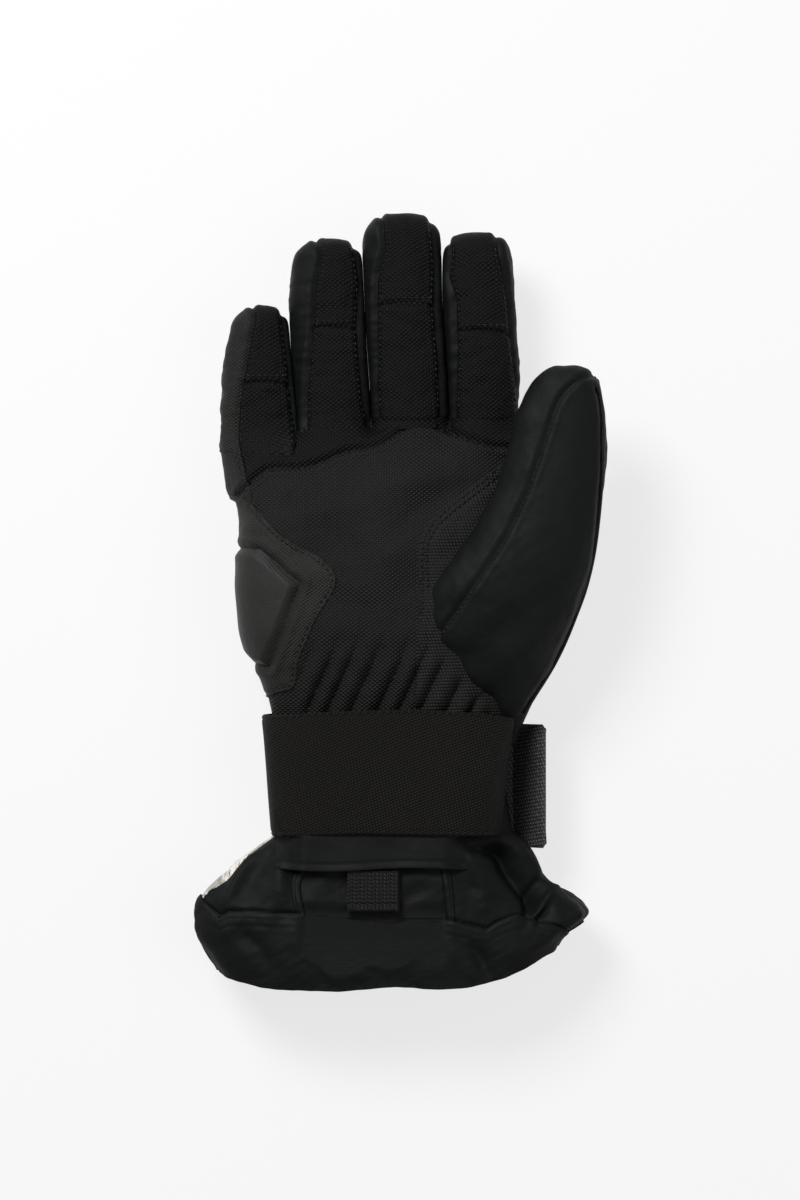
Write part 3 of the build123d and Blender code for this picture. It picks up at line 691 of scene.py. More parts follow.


# in each cloth, "dark" and "light" are its colour in the weave's hollows and on its raised threads: painted
# shade and painted highlight about the cloth's own dark colour
gripCloth = clothMaterial({
    "name": "gripCloth", "weave": "dobby", "pitch": 1.3, "dark": (0.0009, 0.0009, 0.0009),
    "light": (0.0176, 0.0173, 0.0169), "worn": (0.0109, 0.0107, 0.0103), "rough": 0.6, "relief": 1.0,
    "depth": 0.00042, "wear": 0.3, "specular": 0.12,
})
# the grip cloth with its weave turned and painted lighter: painted light on this panel
crotchLitCloth = clothMaterial({
    "name": "crotchLitCloth", "weave": "dobby", "pitch": 1.3, "dark": (0.0009, 0.0009, 0.0009), "turn": 0.62,
    "light": (0.0214, 0.0210, 0.0205), "worn": (0.0119, 0.0117, 0.0112), "rough": 0.58, "relief": 1.0,
    "depth": 0.00042, "wear": 0.25, "specular": 0.14,
})
fingerCloth = clothMaterial({
    "name": "fingerCloth", "weave": "dobby", "pitch": 1.35, "dark": (0.0005, 0.0005, 0.0005),
    "light": (0.0089, 0.0087, 0.0086), "worn": (0.0052, 0.0052, 0.0049), "rough": 0.6, "relief": 1.0,
    "depth": 0.00042, "wear": 0.3, "specular": 0.09,
})
sideCloth = clothMaterial({
    "name": "sideCloth", "weave": "dobby", "pitch": 1.15, "dark": (0.0028, 0.0028, 0.0027),
    "light": (0.0177, 0.0173, 0.0163), "worn": (0.0122, 0.0120, 0.0112), "rough": 0.62, "relief": 0.8,
    "depth": 0.0003, "wear": 0.4, "specular": 0.14,
})
patchCloth = clothMaterial({
    "name": "patchCloth", "weave": "dobby", "pitch": 1.1, "dark": (0.004, 0.0039, 0.0037),
    "light": (0.0243, 0.0236, 0.0223), "worn": (0.0162, 0.0156, 0.0147), "rough": 0.55, "relief": 0.8,
    "depth": 0.0003, "wear": 0.5, "specular": 0.14,
})
padCloth = clothMaterial({
    "name": "padCloth", "weave": "dobby", "pitch": 0.9, "dark": (0.007, 0.0068, 0.0065),
    "light": (0.0205, 0.0199, 0.0189), "worn": (0.0177, 0.0171, 0.0162), "rough": 0.5, "relief": 0.6,
    "depth": 0.0002, "wear": 0.5, "specular": 0.18,
})
# the softshell painted darker than on the thumb: painted shade for the finger sides that face away from the
# light; the cuff, hem, pocket and webs use this darker copy too
shadedSoftCloth = clothMaterial({
    "name": "shadedSoftCloth", "weave": "knit", "pitch": 0.7, "dark": (0.0026, 0.0031, 0.003),
    "light": (0.0027, 0.0032, 0.0031), "worn": (0.0032, 0.0038, 0.0037), "rough": 0.6, "relief": 0.5,
    "depth": 0.00012, "wear": 0.3, "specular": 0.11,
})
thumbCloth = clothMaterial({
    "name": "thumbCloth", "weave": "knit", "pitch": 0.7, "dark": (0.0026, 0.0031, 0.003),
    "light": (0.0058, 0.0069, 0.0066), "worn": (0.0069, 0.0082, 0.0078), "rough": 0.6, "relief": 0.5,
    "depth": 0.00012, "wear": 0.3, "specular": 0.11,
})
threadCloth = clothMaterial({
    "name": "threadCloth", "weave": "knit", "pitch": 0.4, "dark": (0.0006, 0.0006, 0.0006),
    "light": (0.004, 0.004, 0.004), "worn": (0.005, 0.005, 0.005), "rough": 0.5, "relief": 0.4,
    "depth": 0.0001, "wear": 0.3, "specular": 0.25,
})


def printedMaterial():
    # a mottled winter print: pale ground, grey and brown blotches, dark specks
    material, tree, shader = nodesOf("printedCloth")
    graph = Graph(tree)
    place = graph.uv()
    warp = graph.node("ShaderNodeTexNoise", {"Vector": place, "Scale": 0.05, "Detail": 3.0}).outputs[1]
    bent = graph.node("ShaderNodeMix", {0: 0.35, 4: place, 5: warp}, data_type="VECTOR").outputs[1]
    large = graph.noise(bent, 0.09, 5.0, 0.62)
    middle = graph.noise(place, 0.22, 6.0, 0.68)
    specks = graph.noise(place, 0.55, 5.0, 0.75)
    colour = graph.blendColour(graph.ramp(large, 0.46, 0.54, 0.0, 1.0), (0.62, 0.6, 0.56), (0.3, 0.285, 0.26))
    colour = graph.blendColour(graph.ramp(middle, 0.55, 0.6, 0.0, 1.0), colour, (0.12, 0.11, 0.1))
    colour = graph.blendColour(graph.ramp(specks, 0.6, 0.66, 0.0, 0.9), colour, (0.02, 0.02, 0.02))
    tree.links.new(colour, shader.inputs["Base Color"])
    u, v, _ = graph.split(place)
    threads = graph.math("MULTIPLY", graph.wave(u, 1.6), graph.wave(v, 1.6))
    coarse = graph.bump(graph.noise(place, 0.22, 3.0, 0.5), 0.3, 0.0012)
    fine = graph.node("ShaderNodeBump", {"Height": threads, "Strength": 0.4, "Distance": 0.0001,
                                         "Normal": coarse}).outputs[0]
    tree.links.new(fine, shader.inputs["Normal"])
    shader.inputs["Roughness"].default_value = 0.62
    shader.inputs["Specular IOR Level"].default_value = 0.25
    return material


printedCloth = printedMaterial()
print("materials made")


# the hand and fingers: one skin, cut into its panels
handStep = 0.85
handPoints, handQuads = meshField(handField, (-84, -62, -6), (60, 162, 56), handStep)
handPoints = settle(handField, handPoints, handQuads, 3)
handTris = triangles(handQuads, handPoints)
print("hand skin", len(handPoints))


def nearestDigit(p):
    return np.argmin(np.stack([digit.root(p) for digit in digits.values()]), 0)


def seamGroove(distance, depth=0.9, width=0.9):
    # the cloth is drawn down at a seam and stands a little proud beside it
    beside = 0.28 * depth * np.exp(-((np.abs(distance) - 2.6 * width) / width)**2)
    return beside - depth * np.exp(-(distance / width)**2)


def pickPanel(points, tris, normals, chosen, uv, thickness=0.9):
    panelPoints, panelTris, panelNormals, panelUv = compact(points, tris[chosen], normals, uv)
    return thicken(panelPoints, panelTris, panelNormals, thickness, panelUv)


def fingerSkin(digit):
    # the finger alone, from its web to its tip, flattened where it leans on its neighbours
    def field(p):
        near = digit.field(p)
        for other in digit.neighbours():
            near = smoothMin(near, other.root(p), 0.8)
        return smoothMax(smoothMin(palmField(p), near, 7.0), digit.pressed(p), 0.3)
    low = (digit.sides(digit.shape["root"])[0] - 8, digit.shape["root"] - 10, -2)
    high = (digit.sides(digit.shape["root"])[1] + 8, digit.shape["tip"] + 3, 48)
    return field, low, high


def fingerLabels(digit, p):
    # 0 front, 1 left wall, 2 right wall, 3 back, 4 cap
    shape = digit.shape
    y = p[:, 1]
    backLine = digit.axisHeight(y) - 0.45 * halfDeepAt(shape, y)
    label = np.zeros(len(p), int)
    label[p[:, 0] < digit.leftSeam(y)] = 1
    label[p[:, 0] > digit.rightSeam(y)] = 2
    between = (p[:, 0] > digit.leftSeam(y)) & (p[:, 0] < digit.rightSeam(y))
    label[p[:, 2] < backLine] = 3
    label[between & (y > shape["cap"]) & (p[:, 2] > backLine)] = 4
    label[between & (y > shape["tip"] - 5.5)] = 4
    return label


tuck = 4.0                # how far a finger's skin reaches under the palm's edge


def makeFinger(name):
    digit = digits[name]
    shape = digit.shape
    field, low, high = fingerSkin(digit)
    points, quads = meshField(field, low, high, handStep)
    points = settle(field, points, quads, 3)
    tris = triangles(quads, points)
    # the skin reaches a little under the palm's edge, and leaves what belongs to the neighbours' roots
    points, tris = cut(points, tris, lambda p: digit.v(p) + tuck)
    at = points[tris].mean(1)
    others = np.min([other.root(at) for other in digit.neighbours()], 0)
    own = (np.abs(digit.field(at)) < 12) & ((digit.field(at) < others + 0.4) | (digit.v(at) > bendLength))
    tris = tris[(digit.v(at) > -tuck) & own]
    points, tris = compact(points, tris)
    backLine = lambda p: p[:, 2] - digit.axisHeight(p[:, 1]) + 0.45 * halfDeepAt(shape, p[:, 1])
    left = lambda p: p[:, 0] - digit.leftSeam(p[:, 1])
    right = lambda p: p[:, 0] - digit.rightSeam(p[:, 1])
    capLine = lambda p: p[:, 1] - shape["cap"] - 0.35 * (p[:, 2] - digit.axisHeight(p[:, 1]) - 10)
    capEnd = lambda p: p[:, 1] - shape["tip"] + 5.5
    for place in (backLine, left, right, capLine, capEnd):
        points, tris = cut(points, tris, place)
    labels = fingerLabels(digit, points[tris].mean(1))
    normals = pointNormals(points, tris)
    y = points[:, 1]
    height = (points[:, 2] - digit.axisHeight(y)) / halfDeepAt(shape, y)
    front = smooth((height + 0.45) / 0.25)
    rise = front * (seamGroove(left(points), 1.0, 1.0) + seamGroove(right(points), 1.0, 1.0))
    betweenSeams = smooth((points[:, 0] - digit.leftSeam(y)) / 1.5 + 0.5)
    betweenSeams *= smooth((digit.rightSeam(y) - points[:, 0]) / 1.5 + 0.5)
    rise += betweenSeams * smooth(height * 3) * seamGroove(capLine(points), 0.8, 0.9)
    rise += seamGroove(backLine(points), 0.9, 1.0)
    # creases across the finger, deeper towards its root, and slack between the seams
    along = digit.v(points)
    share = np.clip(along / (shape["tip"] - shape["root"]), 0, 1)
    rise += 0.55 * waves(points * (0.55, 1.5, 0.8), 11 + len(name), 26) * smooth(share * 4)
    rise += 0.32 * waves(points * (0.8, 2.2, 1.0), 31 + len(name), 14) * smooth((1 - share) * 3)
    touching = np.min([other.free(points) for other in digit.neighbours()], 0)
    rise *= smooth((touching - 0.1) / 1.8)
    rise -= 0.9 * smooth(-digit.v(points) / 1.2)
    points = points + normals * rise[:, None]
    angle = np.arctan2(height, (points[:, 0] - np.array(digit.sides(y)).mean(0)) / halfDeepAt(shape, y))
    radius = halfDeepAt(shape, shape["root"])
    around = radius * (math.pi / 2 - angle)
    under = radius * (np.where(angle > math.pi / 2, angle - 2 * math.pi, angle) + math.pi / 2)
    uvFront = np.stack([around, along], 1)
    uvBack = np.stack([under, along], 1)
    drop = np.maximum(digit.axisHeight(y) + halfDeepAt(shape, y) - points[:, 2], 0)
    uvCap = np.stack([points[:, 0], along + 0.8 * drop], 1)
    parts = {0: ("Front", fingerCloth, "grip_fabric", [f"{name}_front"], uvFront),
             3: ("Back", printedCloth, "printed_fabric", [f"{name}_back"], uvBack),
             4: ("TipCap", fingerCloth, "grip_fabric", [f"{name}_tip_cap"], uvCap)}
    # the fourchettes take the darker softshell: painted shade on the finger sides
    if name == "little":
        parts[1] = ("OuterPanel", sideCloth, "side_fabric", ["little_outer_panel"], uvFront)
        parts[2] = ("Fourchette", shadedSoftCloth, "softshell", ["little_fourchette"], uvFront)
    else:
        parts[1] = ("FourchetteLeft", shadedSoftCloth, "softshell", [f"{name}_fourchettes"], uvFront)
        parts[2] = ("FourchetteRight", shadedSoftCloth, "softshell", [], uvFront)
    bodies, web, end = digit.bend()
    for label, (title, material, slot, replaced, uv) in parts.items():
        panel = pickPanel(points, tris, normals, labels == label, uv)
        if label == 4:
            newPiece(name + title, *panel[:2], name, slot, material, replaced, panel[2])
        else:
            piece = newPiece(name + title, *panel[:2], None, slot, material, replaced, panel[2])
            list(bodies)
            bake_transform(piece)
            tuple(web)
            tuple(end)
    for inset, slot in ((2.2, "insulation"), (4.6, "lining")):
        inner = lambda p, inset=inset: smoothMax(field(p) + inset, digit.web[1] + 1 - p[:, 1], 1.0)
        innerPoints, innerQuads = meshField(inner, low, high, 2.0)
        innerPoints = settle(inner, innerPoints, innerQuads, 1)
        piece = newPiece(name + slot.capitalize(), innerPoints, innerQuads, None, slot, innerCloth[slot],
                         [f"{name}_{slot}"], innerPoints[:, :2])
        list(bodies)
        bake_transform(piece)
        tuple(web)
        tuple(end)
    return points, tris


innerCloth = {
    "insulation": clothMaterial({
        "name": "fleeceCloth", "weave": "grain", "pitch": 1.4, "dark": (0.5, 0.5, 0.48),
        "light": (0.72, 0.72, 0.7), "worn": (0.66, 0.65, 0.62), "rough": 0.9, "relief": 0.8,
        "depth": 0.0006, "specular": 0.1, "sheen": 0.2}),
    "lining": clothMaterial({
        "name": "liningCloth", "weave": "knit", "pitch": 0.9, "dark": (0.012, 0.012, 0.012),
        "light": (0.04, 0.04, 0.04), "worn": (0.05, 0.05, 0.05), "rough": 0.85, "relief": 0.7,
        "depth": 0.0003, "specular": 0.1, "sheen": 0.15}),
}
fingerMeshes = {name: makeFinger(name) for name in fingerOrder}
print("fingers made")


# the palm and back of the hand

# slack of the palm: soft folds, each with its line in plan, its height and its width
palmFolds = [
    ([(36, 50), (22, 44), (6, 36), (-8, 20)], -1.6, 5.0),
    ([(32, 58), (16, 54), (-4, 46), (-20, 40)], 1.3, 6.0),
    ([(-44, 44), (-36, 34), (-24, 24), (-14, 16)], -1.2, 5.0),
    ([(-2, 30), (-6, 12), (-4, -8)], 1.0, 8.0),
    ([(-52, 66), (-44, 58), (-30, 52)], -1.1, 4.0),
    ([(24, 84), (38, 74), (46, 68)], -1.3, 3.6),
]


def foldHeight(x, y, folds):
    # height at each place of folds given by their line in plan, how high and how wide they are
    place = np.stack([x, y], 1)
    total = np.zeros(len(x))
    for points, height, width in folds:
        line = splinePoints(points, 24)
        away = np.full(len(x), 1e9)
        share = np.zeros(len(x))
        for i, (a, b) in enumerate(zip(line[:-1], line[1:])):
            run = b - a
            t = np.clip((place - a) @ run / (run @ run), 0, 1)
            distance = np.linalg.norm(place - a - t[:, None] * run, axis=1)
            closer = distance < away
            away = np.where(closer, distance, away)
            share = np.where(closer, (i + t) / 23, share)
        total += height * np.exp(-(away / width)**2) * np.sqrt(np.sin(math.pi * np.clip(share, 0.02, 0.98)))
    return total


def palmSkin():
    points, tris = handPoints, handTris
    for number, name in enumerate(fingerOrder):
        digit = digits[name]
        centre = points[tris].mean(1)
        mask = (nearestDigit(centre) == number) & (centre[:, 1] > 50)
        fresh, work = cut(points, tris[mask], digit.v)
        work = work[digit.v(fresh[work].mean(1)) < 0]
        points, tris = fresh, np.concatenate([tris[~mask], work])
    points, tris = compact(points, tris)
    bottom = lambda p: p[:, 2] - 9.0
    outer = lambda p: sideOf(p, seams["outerSide"])
    upper = lambda p: sideOf(p, seams["upperPalm"])
    crotch = lambda p: sideOf(p, seams["crotch"])
    patch = lambda p: sideOf(p, seams["heelPatch"])
    kite = lambda p: insideOf(p, padOutline)
    points, tris = cut(points, tris, bottom)
    top = points[tris].mean(1)[:, 2] > 9
    lower = tris[~top]
    work = tris[top]
    for place in (outer, upper, crotch, patch, kite):
        points, work = cut(points, work, place)
    centre = points[work].mean(1)
    label = np.zeros(len(work), int)
    label[crotch(centre) > 0] = 3
    label[upper(centre) < 0] = 2
    label[outer(centre) > 0] = 1
    label[patch(centre) > 0] = 4
    label[kite(centre) < 0] = 6
    tris = np.concatenate([work, lower])
    labels = np.concatenate([label, np.full(len(lower), 5)])
    normals = pointNormals(points, tris)
    front = smooth((points[:, 2] - 8) / 6)
    patchDepth = patch(points)
    outside = 1 - smooth(patchDepth / 1.0 + 0.5)
    rise = front * outside * seamGroove(upper(points), 1.4, 1.0)
    rise += front * outside * seamGroove(outer(points), 1.2, 1.0) * (points[:, 1] > 24)
    # the crotch panel is laid over the palm and sewn down with two rows
    over = smooth((crotch(points) + 0.3) / 0.8) * smooth((upper(points) + 1) / 2)
    rise += front * (0.7 * over - 0.45 * np.exp(-((crotch(points) - 1.4) / 0.7)**2)
                     - 0.45 * np.exp(-((crotch(points) - 3.6) / 0.7)**2)) * (np.abs(crotch(points)) < 30)
    rise += seamGroove(bottom(points), 0.8, 1.0) * (points[:, 1] > -44)
    # the patch lies on top of the palm, and the pad under it is a flat-topped kite with sloping sides
    rise += front * (0.9 * smooth(patchDepth / 0.8) - 0.5 * np.exp(-((patchDepth - 1.9) / 0.7)**2))
    pad = -kite(points)
    rise += front * (2.4 * smooth(pad / 3.6) - 0.7 * np.exp(-(pad / 0.7)**2))
    rise += front * 0.7 * np.exp(-((pad + 3.0) / 1.6)**2)
    # gathers above the wrist elastic, which lean towards the thumb
    x, y = points[:, 0], points[:, 1]
    lean = x - 0.35 * (y + 46) + 1.2 * np.sin(0.11 * y + 0.5)
    pleat = np.abs(np.sin(math.pi * (lean + 0.8 * np.sin(0.19 * lean)) / 9.3))**0.8
    fade = smooth((-9 - y) / 22) * smooth((y + 50) / 6) * front
    fade = fade * smooth((x + 44) / 10) * smooth((48 - x) / 10) * smooth((thumbTube(points) - 0.4) / 7)
    rise += fade * 2.8 * (pleat - 0.72)
    offPad = 1 - 0.8 * smooth(pad / 3)
    rise += 1.3 * waves(points * (1, 1, 0.6), 3, 46) * front * offPad * smooth((y + 30) / 20)
    rise += front * foldHeight(x, y, palmFolds)
    rise += 0.3 * waves(points, 5, 17) * offPad
    points = points + normals * rise[:, None]
    points[:, 2] = np.maximum(points[:, 2], 0.02)
    flat = np.stack([points[:, 0], points[:, 1]], 1)
    side = np.stack([-(points[:, 0] + points[:, 2]), points[:, 1]], 1)
    table = {
        0: ("palmPanel", gripCloth, "grip_fabric", ["palm_panel", "gather_elastic"], flat),
        1: ("outerSidePanel", sideCloth, "side_fabric", ["outer_side_panel"], side),
        2: ("upperPalmPanel", fingerCloth, "grip_fabric", ["upper_palm_panel"], flat),
        3: ("thumbCrotchPanel", crotchLitCloth, "grip_fabric", ["thumb_crotch_panel"], flat),
        4: ("heelPatch", patchCloth, "patch_fabric", ["heel_patch"], side),
        6: ("heelPad", padCloth, "patch_fabric", ["heel_pad"], side),
        5: ("backPanel", printedCloth, "printed_fabric", ["back_panel"], flat),
    }
    for number, (title, material, slot, replaced, uv) in table.items():
        panel = pickPanel(points, tris, normals, labels == number, uv)
        newPiece(title, *panel[:2], "hand", slot, material, replaced, panel[2])
    return points, tris


palmMesh = palmSkin()
print("palm made")
for inset, slot in ((2.4, "insulation"), (5.0, "lining")):
    inner = lambda p, inset=inset: smoothMax(handField(p) + inset, p[:, 1] - 66, 1.0)
    innerPoints, innerQuads = meshField(inner, (-84, -62, -6), (60, 100, 56), 2.5)
    innerPoints = settle(inner, innerPoints, innerQuads, 1)
    newPiece("hand" + slot.capitalize(), innerPoints, innerQuads, "hand", slot, innerCloth[slot],
             [f"hand_{slot}"], innerPoints[:, :2])


# the thumb, which lies over the palm: a skin of its own down to the wrist

thumbSeams = {
    # the seam up the middle between the narrow strip and the wide panel, from the wrist to the tip
    "centre": splinePoints([(12, -20), (12.2, -17.6), (21.4, -4.4), (31.8, 10.8), (41.4, 26), (50.6, 46),
                            (57.8, 67.2), (62.2, 78.8), (69.4, 86.8), (75.8, 89.2), (84, 91)], 120),
    # the dark corded seam near the outer edge
    "outer": splinePoints([(75, 104), (76.4, 89.2), (79.4, 77.6), (79.9, 58.8), (78.6, 35.2), (75.4, 12),
                           (69, -8),
                           (62, -24), (52, -40), (44, -54)], 120),
}
# the two bodies that the thumb's cloth joins, and a stretch near its base, in metres
thumbBend = (("hand", "thumb"), (0.018, -0.014, 0.03), (0.046, 0.007, 0.03))


def thumbAxis():
    # middle line and half sizes of the thumb at each y
    rows = [(y, (left + right) / 2, (right - left) / 2, (bottom + top) / 2, (top - bottom) / 2)
            for y, left, right, bottom, top in thumb["rows"]]
    return profile(rows, 10)


def makeThumb():
    axis = thumbAxis()
    points, quads = meshField(thumbField, (-2, -62, 2), (92, 98, 70), handStep)
    points = settle(thumbField, points, quads, 3)
    tris = triangles(quads, points)
    centre = lambda p: sideOf(p, thumbSeams["centre"])
    outer = lambda p: sideOf(p, thumbSeams["outer"])
    middle = lambda p: p[:, 2] - axis(p[:, 1])[2] + 2.0
    under = lambda p: p[:, 2] - axis(p[:, 1])[2] + 9.0
    for place in (middle, centre, outer, under):
        points, tris = cut(points, tris, place)
    at = points[tris].mean(1)
    # 0 wide panel, 1 strip, 2 side panel, 3 back
    label = np.zeros(len(tris), int)
    label[centre(at) < 0] = 1
    label[outer(at) < 0] = 2
    rightSide = at[:, 0] > axis(at[:, 1])[0]
    label[(middle(at) < 0) & rightSide] = 2
    label[(middle(at) < 0) & ~rightSide] = 1
    label[under(at) < 0] = 3
    normals = pointNormals(points, tris)
    x, y, z = points.T
    front = smooth((middle(points) + 1) / 3)
    rise = front * seamGroove(centre(points), 1.0, 1.0)
    rise += front * seamGroove(outer(points), 0.8, 0.9) * (y < 84)
    rise += seamGroove(under(points), 0.7, 1.0)
    # long soft folds of the wide panel, and slack cloth towards the wrist
    along = 0.9 * y - 0.44 * x
    rise += front * 0.9 * waves(np.stack([x * 0.6, y * 0.9, z * 0.3], 1), 21, 52) * smooth((78 - y) / 20)
    rise += front * 0.35 * waves(points, 23, 20)
    rise += front * 0.5 * np.sin(2 * math.pi * along / 21 + 1.5 * np.sin(x / 15)) * smooth((12 - y) / 24)
    points = points + normals * rise[:, None]
    places = axis(points[:, 1])
    turn = np.arctan2((z - places[2]) / places[3], (x - places[0]) / places[1])
    radius = 22.0
    around = radius * (math.pi / 2 - np.where(turn < -math.pi / 2, turn + 2 * math.pi, turn))
    uvFront = np.stack([around, y], 1)
    uvFlat = np.stack([x, y], 1)
    table = {
        0: ("thumbPanel", thumbCloth, "softshell", ["thumb_panel"], uvFlat),
        1: ("thumbStrip", thumbCloth, "softshell", ["thumb_strip", "thumb_base_panel"], uvFront),
        2: ("thumbSidePanel", sideCloth, "side_fabric", ["thumb_side_panel"], uvFront),
        3: ("thumbBack", printedCloth, "printed_fabric", ["thumb_back"], uvFlat),
    }
    for number, (title, material, slot, replaced, uv) in table.items():
        panel = pickPanel(points, tris, normals, label == number, uv)
        piece = newPiece(title, *panel[:2], None, slot, material, replaced, panel[2])
        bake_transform(piece)
    for inset, slot in ((2.2, "insulation"), (4.8, "lining")):
        inner = lambda p, inset=inset: smoothMax(thumbField(p) + inset, -6 - p[:, 1], 1.0)
        innerPoints, innerQuads = meshField(inner, (-2, -20, 2), (92, 98, 70), 2.2)
        innerPoints = settle(inner, innerPoints, innerQuads, 1)
        piece = newPiece("thumb" + slot.capitalize(), innerPoints, innerQuads, None, slot, innerCloth[slot],
                         [f"thumb_{slot}"], innerPoints[:, :2])
        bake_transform(piece)
    return points, tris


thumbMesh = makeThumb()
print("thumb made")


# the cuff: a wide sleeve of thin cloth with a turned hem

def loopSection(left, right, bottom, top, power, count):
    # points round a flattened loop, evenly spaced along it, starting at the middle of the back
    t = np.linspace(0, 2 * math.pi, 1441) - math.pi / 2
    c, s = np.cos(t), np.sin(t)
    x = (left + right) / 2 + (right - left) / 2 * np.sign(c) * np.abs(c) ** (2 / power)
    z = (bottom + top) / 2 + (top - bottom) / 2 * np.sign(s) * np.abs(s) ** (2 / power)
    ring = np.stack([x, z], 1)
    steps = np.concatenate([[0], np.cumsum(np.linalg.norm(np.diff(ring, axis=0), axis=1))])
    want = np.linspace(0, steps[-1], count + 1)[:-1]
    return np.stack([np.interp(want, steps, ring[:, k]) for k in (0, 1)], 1), want


def gridFaces(rows, columns, closed):
    # four-sided faces of a grid of points, whose last column joins the first where it is closed
    i, j = np.meshgrid(np.arange(rows - 1), np.arange(columns if closed else columns - 1), indexing="ij")
    k = (j + 1) % columns
    quads = np.stack([i * columns + j, i * columns + k, (i + 1) * columns + k, (i + 1) * columns + j], -1)
    return quads.reshape(-1, 4)


# where the cuff starts, and about where it ends
cuffTopY = -64.0
cuffMouthY = -154.4
# its sections: y, left, right, bottom, top
cuffRows = [(-66, -50, 41, 5, 38.6), (-92, -50, 45, 5, 40), (-95, -52, 50, 4.8, 40.8),
            (-100, -59.2, 53, 4.4, 41.6),
            (-105, -65.4, 55, 3.8, 42.2), (-110, -71.2, 58, 3, 42.8), (-115, -76.2, 62, 2.4, 43.2),
            (-120, -80, 67.5, 1.8, 43.6), (-127, -81.4, 71.5, 1.2, 44), (-134, -81.2, 74.6, 1.0, 44.2),
            (-141, -79.4, 72, 1.2, 44), (-148, -76, 66, 1.6, 43.4), (-154.4, -72, 62, 2, 42.4)]
# the open edge in plan, the hem's upper edge, and the line where the back's printed cloth starts
cuffEdge = [(-82, -128), (-80, -136), (-77, -142.4), (-74.6, -145.6), (-68, -149.6), (-55.4, -153.2),
            (-48, -154),
            (-36, -154.4), (-25.4, -154.6), (-14, -153.8), (-3.8, -152.8), (8, -153.4), (16, -153.8),
            (27, -153.2),
            (36, -151), (42, -149.2), (49, -145.6), (56.2, -140.8), (62, -137.4), (67, -135.4), (73.6, -135),
            (80, -134)]
hemEdge = [(-84, -117), (-78.4, -118), (-77.6, -120.6), (-75.6, -122.4), (-71, -125.7), (-70, -125),
           (-68, -123.7),
           (-60, -123.6), (-39.8, -124.4), (-30, -124.6), (-16, -126.4), (-4, -127.6), (8, -127.4),
           (20, -126.8),
           (34.6, -130.4), (38, -128), (46, -124.6), (56, -127.5), (66, -131), (74, -134.6)]
printEdge = [(-90, -46), (-94.8, -51.5), (-99.6, -57.6), (-101.6, -59.4), (-108.4, -65.6), (-111.6, -68.8),
             (-113.2, -71.2), (-115.2, -74.8), (-118.4, -78), (-122, -84)]
# folds of the slack cloth: their line in plan, how high, how wide
cuffFolds = [
    ([(-51, -95), (-58, -101), (-62, -106), (-70.2, -120.6)], 1.5, 2.0),
    ([(-46, -95), (-54, -103), (-60, -113), (-64, -121)], -1.6, 4.5),
    ([(-40, -93), (-41.8, -101), (-42.5, -108)], -2.6, 2.6),
    ([(-46, -94), (-47.5, -103), (-47, -118)], 1.3, 3.0),
    ([(-30, -110), (-18, -114), (-8, -122)], -1.0, 4.5),
    ([(10, -112), (4, -117), (-2, -121)], -0.9, 3.4),
    ([(19, -94), (26, -100), (31, -108), (34, -120)], 2.2, 3.6),
    ([(36, -94), (41, -100), (44, -106), (50, -114), (56, -124)], -7.0, 4.6),
    ([(26, -96), (34, -99), (40, -101)], -2.4, 2.2),
    ([(46, -96), (54, -102), (60, -110), (64, -117)], 2.4, 3.4),
    ([(62, -107), (56, -111), (52, -118), (50, -128)], -2.8, 2.0),
    ([(66, -113), (60, -116), (56, -122), (54, -129)], 1.6, 1.7),
    ([(60, -121), (56, -125), (54, -130)], -1.6, 1.3),
    ([(70, -118), (72, -126), (76, -131)], 1.2, 2.6),
    ([(-66, -130), (-58, -136), (-52, -146)], -1.1, 3.6),
    ([(-30, -132), (-26, -142), (-28, -152)], 0.9, 4.5),
    ([(28, -134), (32, -142), (36, -150)], -1.4, 3.2),
    ([(2, -130), (6, -140), (4, -150)], -0.7, 4.0),
]


# how far below its upper edge each stitched row of the hem runs
hemRows = (2.0, 5.2)


def plan(rows):
    rows = np.array(sorted(rows), float)
    return lambda x: np.interp(x, rows[:, 0], rows[:, 1])


